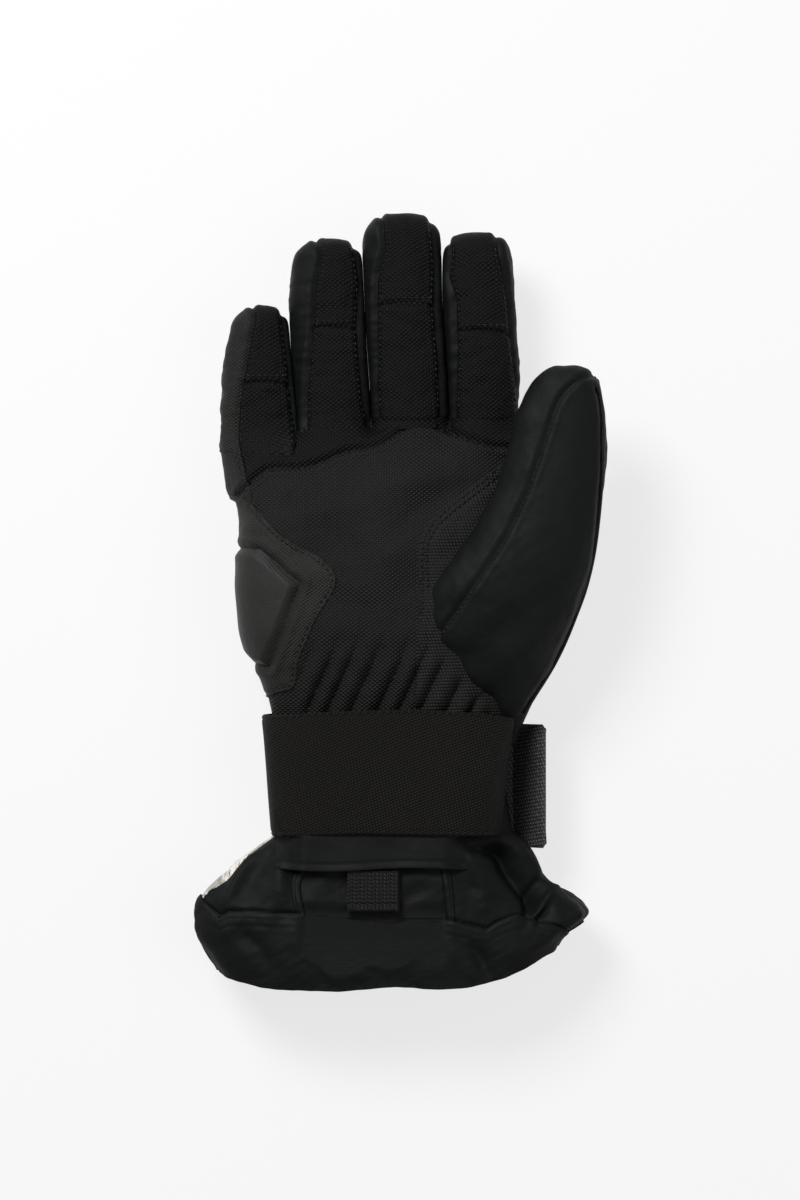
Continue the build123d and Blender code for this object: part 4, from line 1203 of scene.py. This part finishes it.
def makeCuff():
    scale = 1
    around, along = 560 // scale, 130 // scale
    curves = profile(cuffRows, 5)
    share = np.linspace(0, 1, along)
    rings = []
    arcs = []
    for y in cuffTopY + (cuffMouthY - cuffTopY) * share:
        ring, arc = loopSection(*[float(c) for c in curves(y)], 3.0, around)
        rings.append(np.column_stack([ring[:, 0], np.full(around, y), ring[:, 1]]))
        arcs.append(arc)
    points = np.array(rings)
    # towards its mouth each ring is drawn to the uneven open edge
    edge = plan(cuffEdge)(points[-1][:, 0])
    edge = np.convolve(np.concatenate([edge[-6:], edge, edge[:6]]), np.hanning(13) / 6, mode="valid")
    points[:, :, 1] += smooth((share - 0.5) / 0.5)[:, None] * (edge - cuffMouthY)[None]
    points = points.reshape(-1, 3)
    arcs = np.array(arcs).ravel()
    quads = gridFaces(along, around, True)
    tris = triangles(quads, points)
    normals = pointNormals(points, tris)
    if (normals[:, 2] * (points[:, 2] - 22)).mean() < 0:
        tris = tris[:, ::-1]
        normals = -normals
    x, y, z = points.T
    top = smooth((z - 24) / 14)
    slack = smooth((-92 - y) / 8)
    rise = 1.35 * top * slack * foldHeight(x, y, cuffFolds)
    rise += slack * 1.1 * waves(points * (1, 1, 0.5), 41, 46) + slack * 0.45 * waves(points, 43, 17)
    rise += (1 - top) * slack * 1.2 * waves(points * (0.8, 0.5, 1.6), 45, 30)
    hem = lambda p: plan(hemEdge)(p[:, 0]) - p[:, 1]
    rise += top * (0.5 * smooth(hem(points) / 0.8) - 0.8 * np.exp(-((hem(points) + 0.7) / 0.8)**2))
    for row in hemRows:
        rise -= top * 0.22 * np.exp(-((hem(points) - row) / 0.7)**2)
    moved = points + normals * rise[:, None]
    moved[:, 2] = np.clip(moved[:, 2], 0.5, 47)
    # the splint slides out over the cuff, which lies flat under its path
    slide = joints["splint_slide"]["axis"]
    low, high = nodeBox("splint")
    path = low[2] + slide[2] / slide[1] * (y - high[1]) - 1.9
    inPath = smooth((x - low[0] + 6) / 5) * smooth((high[0] + 6 - x) / 5) * smooth((-118 - y) / 6)
    moved[:, 2] -= inPath * np.maximum(moved[:, 2] - path, 0)
    uv = np.stack([arcs - arcs.max() / 2, y], 1)
    at = points[tris].mean(1)
    seamPlace = plan(printEdge)(at[:, 1]) - at[:, 0]
    onBack = (at[:, 2] < 20) | ((seamPlace > 0) & (at[:, 1] > -121))
    inHem = np.where(at[:, 2] > 20, hem(at) > 0, at[:, 1] < -127)
    shape = pointNormals(moved, tris)
    table = {
        "cuffFront": (~onBack & ~inHem, shadedSoftCloth, "softshell", ["cuff_front"], 0.0),
        "cuffBack": (onBack & ~inHem, printedCloth, "printed_fabric", ["cuff_back"], 0.0),
        "cuffHem": (inHem, shadedSoftCloth, "softshell", ["cuff_hem"], 0.9),
    }
    for name, (chosen, material, slot, replaced, lift) in table.items():
        panel = compact(moved + shape * lift, tris[chosen], shape, uv)
        solid = thicken(panel[0], panel[1], panel[2], 0.8 + lift, panel[3])
        newPiece(name, *solid[:2], "hand", slot, material, replaced, solid[2])
    inner = compact(moved - shape * 1.6, tris, shape, uv)
    solid = thicken(inner[0], inner[1], inner[2], 0.7, inner[3])
    newPiece("cuffLining", *solid[:2], "hand", "lining", innerCloth["lining"], ["cuff_lining"], solid[2])
    return moved, tris


cuffMesh = makeCuff()
print("cuff made")


# wrist strap, closure tab, pocket and pull loop

def sheetSolid(grid, thickness, uv):
    # a closed panel from a grid of points, which are its outer face
    rows, columns = grid.shape[:2]
    points = grid.reshape(-1, 3)
    tris = triangles(gridFaces(rows, columns, False), points)
    normals = pointNormals(points, tris)
    if normals[:, 2].mean() < 0:
        tris = tris[:, ::-1]
        normals = -normals
    return thicken(points, tris, normals, thickness, uv.reshape(-1, 2))


strapCloth = clothMaterial({
    "name": "strapCloth", "weave": "birdseye", "pitch": 1.15, "turn": 0.4, "dark": (0.0002, 0.0002, 0.0002),
    "light": (0.0104, 0.0096, 0.0083), "worn": (0.0042, 0.0039, 0.0034), "rough": 0.62, "relief": 0.9,
    "depth": 0.0005, "wear": 0.15, "crease": 0.08, "specular": 0.1,
})
tabCloth = clothMaterial({
    "name": "tabCloth", "weave": "dobby", "pitch": 1.5, "dark": (0.004, 0.004, 0.004), "turn": 0.5,
    "light": (0.0811, 0.0803, 0.0796), "worn": (0.0468, 0.0463, 0.0457), "rough": 0.6, "relief": 1.0,
    "depth": 0.0004, "wear": 0.25, "specular": 0.2,
})
webbingCloth = clothMaterial({
    "name": "webbingCloth", "weave": "ribs", "pitch": 1.5, "dark": (0.0015, 0.0015, 0.0015),
    "light": (0.0048, 0.0047, 0.0046), "worn": (0.0034, 0.0033, 0.0032), "rough": 0.5, "relief": 1.0,
    "depth": 0.0004, "wear": 0.3, "crease": 0.1, "specular": 0.14,
})


def makeStrap():
    low, high = nodeBox("wrist_strap")
    rows, columns = 60, 420
    share = np.linspace(0, 1, rows)
    upper = plan([(-55.5, -45.4), (-27.8, -43.6), (5.8, -42.6), (32.2, -44.2), (46.2, -46.4)])
    lower = plan([(-52, -93.4), (-15.8, -92.2), (17.8, -92.8), (41, -93.4)])
    points = np.empty((rows, columns, 3))
    arcs = np.empty((rows, columns))
    for i, s in enumerate(share):
        left = low[0] + 0.3 + 4.0 * s
        right = high[0] - 0.3 - 5.6 * s
        crown = high[2] - 0.9 + 0.6 * math.sin(math.pi * s)
        ring, arc = loopSection(left, right, low[2] + 0.4, crown, 4.2, columns)
        y = upper(ring[:, 0]) + (lower(ring[:, 0]) - upper(ring[:, 0])) * s
        points[i] = np.column_stack([ring[:, 0], y, ring[:, 1]])
        arcs[i] = arc
    # the elastic is a little fuller between its bound edges, and its edge cords stand proud
    flat = points.reshape(-1, 3)
    quads = gridFaces(rows, columns, True)
    tris = triangles(quads, flat)
    normals = pointNormals(flat, tris)
    if (normals[:, 2] * (flat[:, 2] - 25)).mean() < 0:
        tris = tris[:, ::-1]
        normals = -normals
    strapWidth = 48
    down = strapWidth * np.repeat(share, columns)
    rise = 0.35 * waves(flat, 61, 60)
    for fromEdge in (down, strapWidth - down):
        rise -= 0.35 * np.exp(-((fromEdge - 1.6) / 0.5)**2) + 0.7 * np.exp(-(fromEdge / 0.5)**2)
    flat = flat + normals * rise[:, None]
    uv = np.stack([arcs.ravel() - arcs.max() / 2, -down], 1)
    solid = thicken(flat, tris, normals, 1.7, uv)
    newPiece("wristStrap", *solid[:2], "hand", "elastic", strapCloth, ["wrist_strap"], solid[2])


makeStrap()


def makeTab():
    joint = joints["tab_peel"]
    hinge = np.array(joint["pos_m"]) / mm
    tabLow, tabHigh = nodeBox("closure_tab")
    reach = math.hypot(tabHigh[0] - hinge[0], tabHigh[2] - hinge[2]) - 0.8
    rise = math.atan2(tabHigh[2] - hinge[2], tabHigh[0] - hinge[0])
    across = np.array([math.cos(rise), 0, math.sin(rise)])
    face = np.array([-math.sin(rise), 0, math.cos(rise)])
    rows, columns = 90, 44
    v = np.linspace(tabHigh[1] - 0.2, tabLow[1] + 0.2, rows)
    share = np.linspace(0, 1, columns)
    grid = np.empty((rows, columns, 3))
    uv = np.empty((rows, columns, 2))
    for i, y in enumerate(v):
        fromEnd = min(v[0] - y, y - v[-1])
        corner = reach - 2.2 * (1 - smooth(fromEnd / 3.0))
        u = share * corner
        # the cloth is turned in and sewn down all round, and bows a little along its middle
        hemHigh = 0.55 * (1 - smooth((fromEnd - 4.2) / 0.7))
        side = 0.55 * (1 - smooth((reach - u - 4.2) / 0.7))
        sewn = -0.35 * np.exp(-((np.minimum(reach - u, fromEnd) - 3.2) / 0.45)**2)
        edge = -0.8 * np.exp(-(np.minimum(reach - u, fromEnd) / 0.5)**2)
        bow = 0.9 * math.sin(math.pi * (y - v[-1]) / (v[0] - v[-1])) + 0.25 * math.sin(y / 5.0) * share
        height = 1.0 + np.maximum(hemHigh, side) + sewn + edge + bow
        grid[i] = hinge * (1, 0, 1) + np.array([0, y, 0]) + u[:, None] * across + height[:, None] * face
        uv[i] = np.column_stack([u, np.full(columns, y)])
    solid = sheetSolid(grid, 2.2, uv)
    newPiece("closureTab", *solid[:2], "tab", "webbing", tabCloth, ["closure_tab"], solid[2])
    # what the tab is sewn to goes on under the strap
    inner = np.linspace(-7.0, 0.2, 12)
    base = np.empty((rows, 12, 3))
    for i, y in enumerate(v):
        base[i] = np.column_stack([hinge[0] + inner, np.full(12, y), hinge[2] + 0.6 + 0.04 * inner])
    baseUv = np.stack([np.repeat(inner[None], rows, 0), np.repeat(v[:, None], 12, 1)], -1)
    solid = sheetSolid(base, 1.6, baseUv)
    newPiece("tabBase", *solid[:2], "hand", "webbing", tabCloth, (), solid[2])


makeTab()


def makeLoop():
    joint = joints["loop_lift"]
    hinge = np.array(joint["pos_m"]) / mm
    low, high = nodeBox("pull_loop")
    # the webbing runs out, folds back on itself and returns under itself
    width = high[0] - low[0] - 0.2
    length = high[1] - low[1] - 2.6
    out = np.array([0, -math.cos(splintSlope), math.sin(splintSlope)])
    up = np.array([0, math.sin(splintSlope), math.cos(splintSlope)])
    bend = [(0.0, 1.45), (0.25, 1.5), (0.5, 1.5), (0.75, 1.42)]
    path = [(s * length, h) for s, h in bend]
    path += [(length + 1.2 * math.sin(t), 0.2 + 1.2 * math.cos(t)) for t in np.linspace(0, math.pi, 12)]
    path += [(s * length, -1.0) for s in (0.75, 0.5, 0.25, 0.0)]
    line = splinePoints(path, 120)
    columns = 40
    u = np.linspace(-width / 2, width / 2, columns)
    distance = np.concatenate([[0], np.cumsum(np.linalg.norm(np.diff(line, axis=0), axis=1))])
    grid = np.empty((len(line), columns, 3))
    middle = np.array([(low[0] + high[0]) / 2, hinge[1], hinge[2]])
    direction = np.gradient(line, axis=0)
    direction /= np.linalg.norm(direction, axis=1)[:, None]
    for i, (along, height) in enumerate(line):
        edge = -0.25 * np.exp(-((width / 2 - np.abs(u)) / 0.6)**2)
        sewn = -0.4 * math.exp(-((along - length + 1.8) / 0.5)**2) if height > 0.6 else 0.0
        outward = -direction[i, 1] * out + direction[i, 0] * up
        grid[i] = middle + along * out + height * up + u[:, None] * (1, 0, 0)
        grid[i] += (edge + sewn)[:, None] * outward
    uv = np.stack(np.meshgrid(u, distance), -1)
    points = grid.reshape(-1, 3)
    tris = triangles(gridFaces(len(line), columns, False), points)
    normals = pointNormals(points, tris)
    outward = -direction[0, 1] * out + direction[0, 0] * up
    if normals[:columns].mean(0) @ outward < 0:
        tris = tris[:, ::-1]
        normals = -normals
    solid = thicken(points, tris, normals, 0.9, uv.reshape(-1, 2))
    newPiece("pullLoop", *solid[:2], "pull_loop", "webbing", webbingCloth, ["pull_loop"], solid[2])


makeLoop()


def cuffTopAt(tree, x, y):
    hit = tree.ray_cast(Vector((x, y, 90)), Vector((0, 0, -1)))
    return hit[0].z if hit[0] else 42.0


def makePocket():
    low, high = nodeBox("splint_pocket")
    roof = lambda y: high[2] - (y - low[1]) * math.tan(splintSlope)
    tree = BVHTree.FromPolygons(cuffMesh[0].tolist(), cuffMesh[1].tolist())
    rows, columns = 70, 110
    ys = np.linspace(-58, low[1] - 2.4, rows)
    xs = np.linspace(low[0] - 11, high[0] + 12, columns)
    grid = np.empty((rows, columns, 3))
    for i, y in enumerate(ys):
        for j, x in enumerate(xs):
            edge = min(x - xs[0], xs[-1] - x)
            base = cuffTopAt(tree, x, y) - 0.5 if y < -93 else roof(y) - 4.5
            grid[i, j] = (x, y, base + (roof(y) + 0.1 - base) * smooth((edge + 0.5) / 13.5))
    sag = -0.7 * np.exp(-((ys[:, None] - ys[-1] - 9) / 6)**2) * np.cos((xs[None] + 10) / 15)
    fold = 0.35 * np.sin(xs[None] / 4.5 + 0.8 * np.sin(ys[:, None] / 5)) * smooth((-93 - ys[:, None]) / 6)
    fromLip = ys[:, None] - ys[-1]
    lip = 0.35 * np.exp(-((fromLip - 0.6) / 0.8)**2) - 0.35 * np.exp(-((fromLip - 2.6) / 0.5)**2)
    grid[:, :, 2] += sag * 0.4 + fold + lip
    grid[:, :, 1] += 0.7 * np.sin((xs[None] + 12) / 11) * smooth((-93 - ys[:, None]) / 10)
    uv = np.stack(np.meshgrid(xs, ys), -1)
    solid = sheetSolid(grid, 0.8, uv)
    newPiece("splintPocket", *solid[:2], "hand", "softshell", shadedSoftCloth, ["splint_pocket"], solid[2])
    # the pocket's inner face, seen below its opening, down to the hem
    ys = np.linspace(-70, -125.5, rows)
    xs = np.linspace(low[0] + 1, high[0] - 1, columns)
    grid = np.empty((rows, columns, 3))
    for i, y in enumerate(ys):
        for j, x in enumerate(xs):
            grid[i, j] = (x, y, cuffTopAt(tree, x, y) + 0.35 if y < -90 else 40.2)
    uv = np.stack(np.meshgrid(xs, ys), -1)
    solid = sheetSolid(grid, 0.6, uv)
    newPiece("pocketBacking", *solid[:2], "hand", "softshell", shadedSoftCloth, ["pocket_backing"], solid[2])
    # a rolled, topstitched welt down each side of it
    for side, name, line in ((-1, "Left", [(-39.6, -106.5), (-41.2, -112), (-40.6, -119), (-38.8, -125)]),
                             (1, "Right", [(17.2, -104), (18.6, -110), (19.4, -117), (20, -126.4)])):
        centre = splinePoints(line, 70)
        run = np.gradient(centre, axis=0)
        run /= np.linalg.norm(run, axis=1)[:, None]
        across = np.stack([run[:, 1], -run[:, 0]], 1)
        offsets = np.linspace(-1.9, 1.9, 15)
        grid = np.empty((len(centre), len(offsets), 3))
        for i in range(len(centre)):
            for j, u in enumerate(offsets):
                x, y = centre[i] + across[i] * u
                sewn = 0.35 * math.exp(-((u * side + 0.9) / 0.35)**2)
                crown = 1.1 * math.sqrt(max(1 - (u / 1.9)**2, 0)) - sewn
                grid[i, j] = (x, y, cuffTopAt(tree, x, y) + 0.3 + crown)
        uv = np.stack(np.meshgrid(offsets, centre[:, 1]), -1)
        solid = sheetSolid(grid, 1.0, uv)
        newPiece("pocketWelt" + name, *solid[:2], "hand", "softshell", shadedSoftCloth,
                 ["pocket_welts"] if side < 0 else [], solid[2])


makePocket()
print("strap, tab, pocket and loop made")


# stitching: short raised threads in rows, laid on the skins

stitch = {
    "pitch": 2.4, "length": 1.7, "half": 0.3, "sides": 6,
    # the rings of one stitch: their place along it, how wide each is, and how high it stands
    "places": (0, 0.18, 0.5, 0.82, 1), "widths": (0.35, 0.9, 1.0, 0.9, 0.35),
    "lifts": (-0.25, 0.12, 0.24, 0.12, -0.25),
}


def offsetLine(line, distance):
    # a row beside a seam, on the right of its direction
    run = np.gradient(np.asarray(line, float), axis=0)
    run /= np.linalg.norm(run, axis=1)[:, None]
    return line + distance * np.stack([run[:, 1], -run[:, 0]], 1)


def clip(line, test):
    # the points of a line that pass a test of their x and y
    line = np.asarray(line, float)
    return line[[bool(test(x, y)) for x, y in line]]


def dashes(line):
    # the places of each stitch's rings along a line in plan
    line = np.asarray(line, float)
    arc = np.concatenate([[0], np.cumsum(np.linalg.norm(np.diff(line, axis=0), axis=1))])
    starts = np.arange(0.3, arc[-1] - stitch["length"], stitch["pitch"])
    places = starts[:, None] + np.array(stitch["places"]) * stitch["length"]
    return np.stack([np.interp(places, arc, line[:, k]) for k in (0, 1)], -1)


def stitchRows(name, rows, mesh, body, slot, hinge=None):
    # rows of stitches along lines in plan, laid on a mesh from above; none where the mesh is too steep
    tree = BVHTree.FromPolygons(mesh[0].tolist(), mesh[1].tolist())
    sides = stitch["sides"]
    rings = len(stitch["places"])
    turns = [2 * math.pi * k / sides for k in range(sides)]
    points, faces = [], []
    for line in rows:
        for dash in dashes(line):
            hits = [tree.ray_cast(Vector((x, y, 90)), Vector((0, 0, -1))) for x, y in dash]
            if any(hit[0] is None or hit[1].z < 0.12 for hit in hits):
                continue
            places = np.array([tuple(hit[0]) for hit in hits])
            if np.abs(np.diff(places[:, 2])).max() > 1.0:
                continue
            up = np.array([tuple(hit[1]) for hit in hits]).mean(0)
            up /= np.linalg.norm(up)
            run = places[-1] - places[0]
            run /= np.linalg.norm(run)
            across = np.cross(run, up)
            first = len(points)
            for place, width, lift in zip(places, stitch["widths"], stitch["lifts"]):
                half = stitch["half"] * width
                points += [place + up * lift + half * (math.cos(turn) * across + math.sin(turn) * up)
                           for turn in turns]
            for i in range(rings - 1):
                for k in range(sides):
                    a, b = first + i * sides + k, first + i * sides + (k + 1) % sides
                    faces.append((a, b, b + sides))
                    faces.append((a, b + sides, a + sides))
            for i, flip in ((0, True), (rings - 1, False)):
                ring = [first + i * sides + k for k in range(sides)]
                for k in range(1, sides - 1):
                    tri = (ring[0], ring[k], ring[k + 1])
                    faces.append(tri[::-1] if flip else tri)
    points = np.array(points)
    faces = np.array(faces)
    if hinge is None:
        return newPiece(name, points, faces, body, slot, threadCloth, (), points[:, :2])
    piece = newPiece(name, points, faces, None, slot, threadCloth, (), points[:, :2])
    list(hinge[0])
    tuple(hinge[1])
    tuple(hinge[2])
    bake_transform(piece)
    return piece


def makePiping():
    # the cord that is sewn into the thumb's outer seam
    tree = BVHTree.FromPolygons(thumbMesh[0].tolist(), thumbMesh[1].tolist())
    line = clip(thumbSeams["outer"], lambda x, y: -46 < y < 90)
    places = []
    for x, y in line:
        hit = tree.ray_cast(Vector((x, y, 90)), Vector((0, 0, -1)))
        step = 0.0
        while hit[0] is None and step < 8:
            step += 0.5
            hit = tree.ray_cast(Vector((x - step, y, 90)), Vector((0, 0, -1)))
        if hit[0] is not None:
            places.append(np.array(tuple(hit[0])) + 0.15 * np.array(tuple(hit[1])))
    places = np.array(places)
    kernel = np.ones(7) / 7
    padded = np.pad(places, ((3, 3), (0, 0)), mode="edge")
    smoothed = np.stack([np.convolve(padded[:, k], kernel, mode="valid") for k in range(3)], 1)
    run = np.gradient(smoothed, axis=0)
    run /= np.linalg.norm(run, axis=1)[:, None]
    across = np.cross(run, (0, 0, 1.0))
    across /= np.linalg.norm(across, axis=1)[:, None]
    up = np.cross(across, run)
    sides = 10
    turns = 2 * math.pi * np.arange(sides) / sides
    thick = np.full(len(smoothed), 0.85)
    thick[[0, -1]] = 0.3
    ring = np.cos(turns)[None, :, None] * across[:, None] + np.sin(turns)[None, :, None] * up[:, None]
    points = (smoothed[:, None] + thick[:, None, None] * ring).reshape(-1, 3)
    faces = [tuple(face) for face in gridFaces(len(smoothed), sides, True)]
    faces.append(tuple(range(sides))[::-1])
    faces.append(tuple(range(len(points) - sides, len(points))))
    arc = np.repeat(np.arange(len(smoothed)) * 1.5, sides)
    piece = newPiece("thumbPiping", points, faces, None, "softshell", threadCloth, ["thumb_piping"],
                     np.stack([np.tile(turns, len(smoothed)), arc], 1))
    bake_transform(piece)


def makeWebs():
    # a small gusset closes each gap between two fingers at its foot
    for left, right in zip(fingerOrder[:-1], fingerOrder[1:]):
        a, b = digits[left], digits[right]
        root = max(a.shape["root"], b.shape["root"])
        ys = np.linspace(min(a.shape["root"], b.shape["root"]) - 2, root + 9, 24)
        offsets = np.linspace(-3.2, 3.2, 13)
        grid = np.empty((len(ys), len(offsets), 3))
        for i, y in enumerate(ys):
            middle = float(a.sides(y)[1] + b.sides(y)[0]) / 2
            for j, u in enumerate(offsets):
                high = float(b.axisHeight(y)) - 3.0 + 0.12 * u * u - 0.25 * max(y - root, 0)
                grid[i, j] = (middle + u, y, high)
        uv = np.stack(np.meshgrid(offsets, ys), -1)
        solid = sheetSolid(grid, 0.8, uv)
        newPiece(left + "Web", *solid[:2], "hand", "softshell", shadedSoftCloth, (), solid[2])


makePiping()
makeWebs()
stitchRows("palmStitching", [
    clip(offsetLine(seams["upperPalm"], 1.5), lambda x, y: -61 < x < 37),
    clip(offsetLine(seams["heelPatch"], 1.9), lambda x, y: x > -62 and y > -37),
    clip(offsetLine(seams["crotch"], 1.2), lambda x, y: -4 < y < 52),
    clip(offsetLine(seams["crotch"], 3.2), lambda x, y: 4 < y < 50),
    clip(offsetLine(seams["outerSide"], 1.3), lambda x, y: 42 < y < 60),
], palmMesh, "hand", "grip_fabric")
for name in fingerOrder:
    digit = digits[name]
    rows = []
    ys = np.linspace(digit.shape["root"] + 1, digit.shape["tip"] - 6, 60)
    for seam, side in ((digit.leftSeam, 1), (digit.rightSeam, -1)):
        rows.append(np.column_stack([seam(ys) + 1.5 * side, ys]))
    capY = digit.shape["cap"]
    cross = np.linspace(digit.leftSeam(capY) + 1.0, digit.rightSeam(capY) - 1.0, 20)
    rows.append(np.column_stack([cross, np.full(20, capY + 3.2)]))
    stitchRows(name + "Stitching", rows, fingerMeshes[name], None, "grip_fabric", digit.bend())
hemLine = np.column_stack([np.linspace(-76, 70, 90), plan(hemEdge)(np.linspace(-76, 70, 90))])
stitchRows("cuffStitching", [offsetLine(hemLine, row) for row in hemRows], cuffMesh, "hand", "softshell")
stitchRows("thumbStitching", [clip(offsetLine(thumbSeams["centre"], 1.1), lambda x, y: y < 86)],
           thumbMesh, None, "softshell", thumbBend)
print("stitching made")


# what the frame's own nodes are made of

def plasticMaterial(name, colour, rough):
    material, tree, shader = nodesOf(name)
    graph = Graph(tree)
    place = graph.node("ShaderNodeTexCoord").outputs["Object"]
    speck = graph.node("ShaderNodeTexNoise", {"Vector": place, "Scale": 900.0, "Detail": 2.0}).outputs[0]
    cloud = graph.node("ShaderNodeTexNoise", {"Vector": place, "Scale": 60.0, "Detail": 3.0}).outputs[0]
    mottled = graph.blendColour(graph.ramp(cloud, 0.3, 0.7, 0.0, 1.0), colour, tuple(1.5 * c for c in colour))
    tree.links.new(mottled, shader.inputs["Base Color"])
    tree.links.new(graph.ramp(speck, 0.3, 0.7, rough - 0.08, rough + 0.08), shader.inputs["Roughness"])
    tree.links.new(graph.bump(speck, 0.3, 0.00008), shader.inputs["Normal"])
    return material


nodeMaterials = {
    "splint": plasticMaterial("splintPlastic", (0.02, 0.02, 0.021), 0.42),
    "hook_patch": plasticMaterial("hookPile", (0.006, 0.006, 0.006), 0.7),
    "loop_patch": plasticMaterial("loopPile", (0.008, 0.008, 0.008), 0.9),
}
for node, material in nodeMaterials.items():
    mesh = frame["nodes"][node].data
    mesh.materials.clear()
    mesh.materials.append(material)


# camera, floor and light

def stageAndLight():
    scene = bpy.context.scene
    scene.view_settings.view_transform = "Standard"
    camera = bpy.data.objects.new("camera", bpy.data.cameras.new("camera"))
    bpy.context.collection.objects.link(camera)
    camera.data.lens = 150
    camera.data.sensor_width = 36
    camera.data.clip_end = 20
    camera.location = (0, 0.0006, 2.025)
    scene.camera = camera
    size = 3.0
    floorMesh = bpy.data.meshes.new("floor")
    corners = [(-size, -size, 0), (size, -size, 0), (size, size, 0), (-size, size, 0)]
    floorMesh.from_pydata(corners, [], [(0, 1, 2, 3)])
    floor = bpy.data.objects.new("floor", floorMesh)
    floor.location.z = -0.0002
    bpy.context.collection.objects.link(floor)
    material, tree, shader = nodesOf("floorPaper")
    shader.inputs["Base Color"].default_value = (0.8, 0.8, 0.8, 1)
    shader.inputs["Roughness"].default_value = 0.9
    shader.inputs["Specular IOR Level"].default_value = 0.0
    # seen straight, the paper is mostly its own even white; it still carries the glove's shadow
    glow = tree.nodes.new("ShaderNodeEmission")
    glow.inputs[0].default_value = (0.93, 0.93, 0.93, 1)
    glow.inputs[1].default_value = 1.0
    seen = tree.nodes.new("ShaderNodeMath")
    seen.operation = "MULTIPLY"
    seen.inputs[1].default_value = 0.78
    tree.links.new(tree.nodes.new("ShaderNodeLightPath").outputs["Is Camera Ray"], seen.inputs[0])
    mix = tree.nodes.new("ShaderNodeMixShader")
    output = next(node for node in tree.nodes if node.type == "OUTPUT_MATERIAL")
    tree.links.new(seen.outputs[0], mix.inputs[0])
    tree.links.new(shader.outputs[0], mix.inputs[1])
    tree.links.new(glow.outputs[0], mix.inputs[2])
    tree.links.new(mix.outputs[0], output.inputs[0])
    floorMesh.materials.append(material)
    world = bpy.data.worlds.new("world")
    world.use_nodes = True
    world.node_tree.nodes["Background"].inputs[0].default_value = (1, 1, 1, 1)
    world.node_tree.nodes["Background"].inputs[1].default_value = 0.3
    scene.world = world
    for name, place, size, power in (("keyLight", (-0.6, 0.85, 1.2), 0.6, 29),
                                     ("fillLight", (0.9, -0.3, 1.3), 1.2, 6)):
        light = bpy.data.objects.new(name, bpy.data.lights.new(name, "AREA"))
        light.data.shape = "SQUARE"
        light.data.size = size
        light.data.energy = power
        light.location = place
        light.rotation_euler = (Vector((0, 0, 0)) - Vector(place)).to_track_quat("-Z", "Y").to_euler()
        bpy.context.collection.objects.link(light)


stageAndLight()
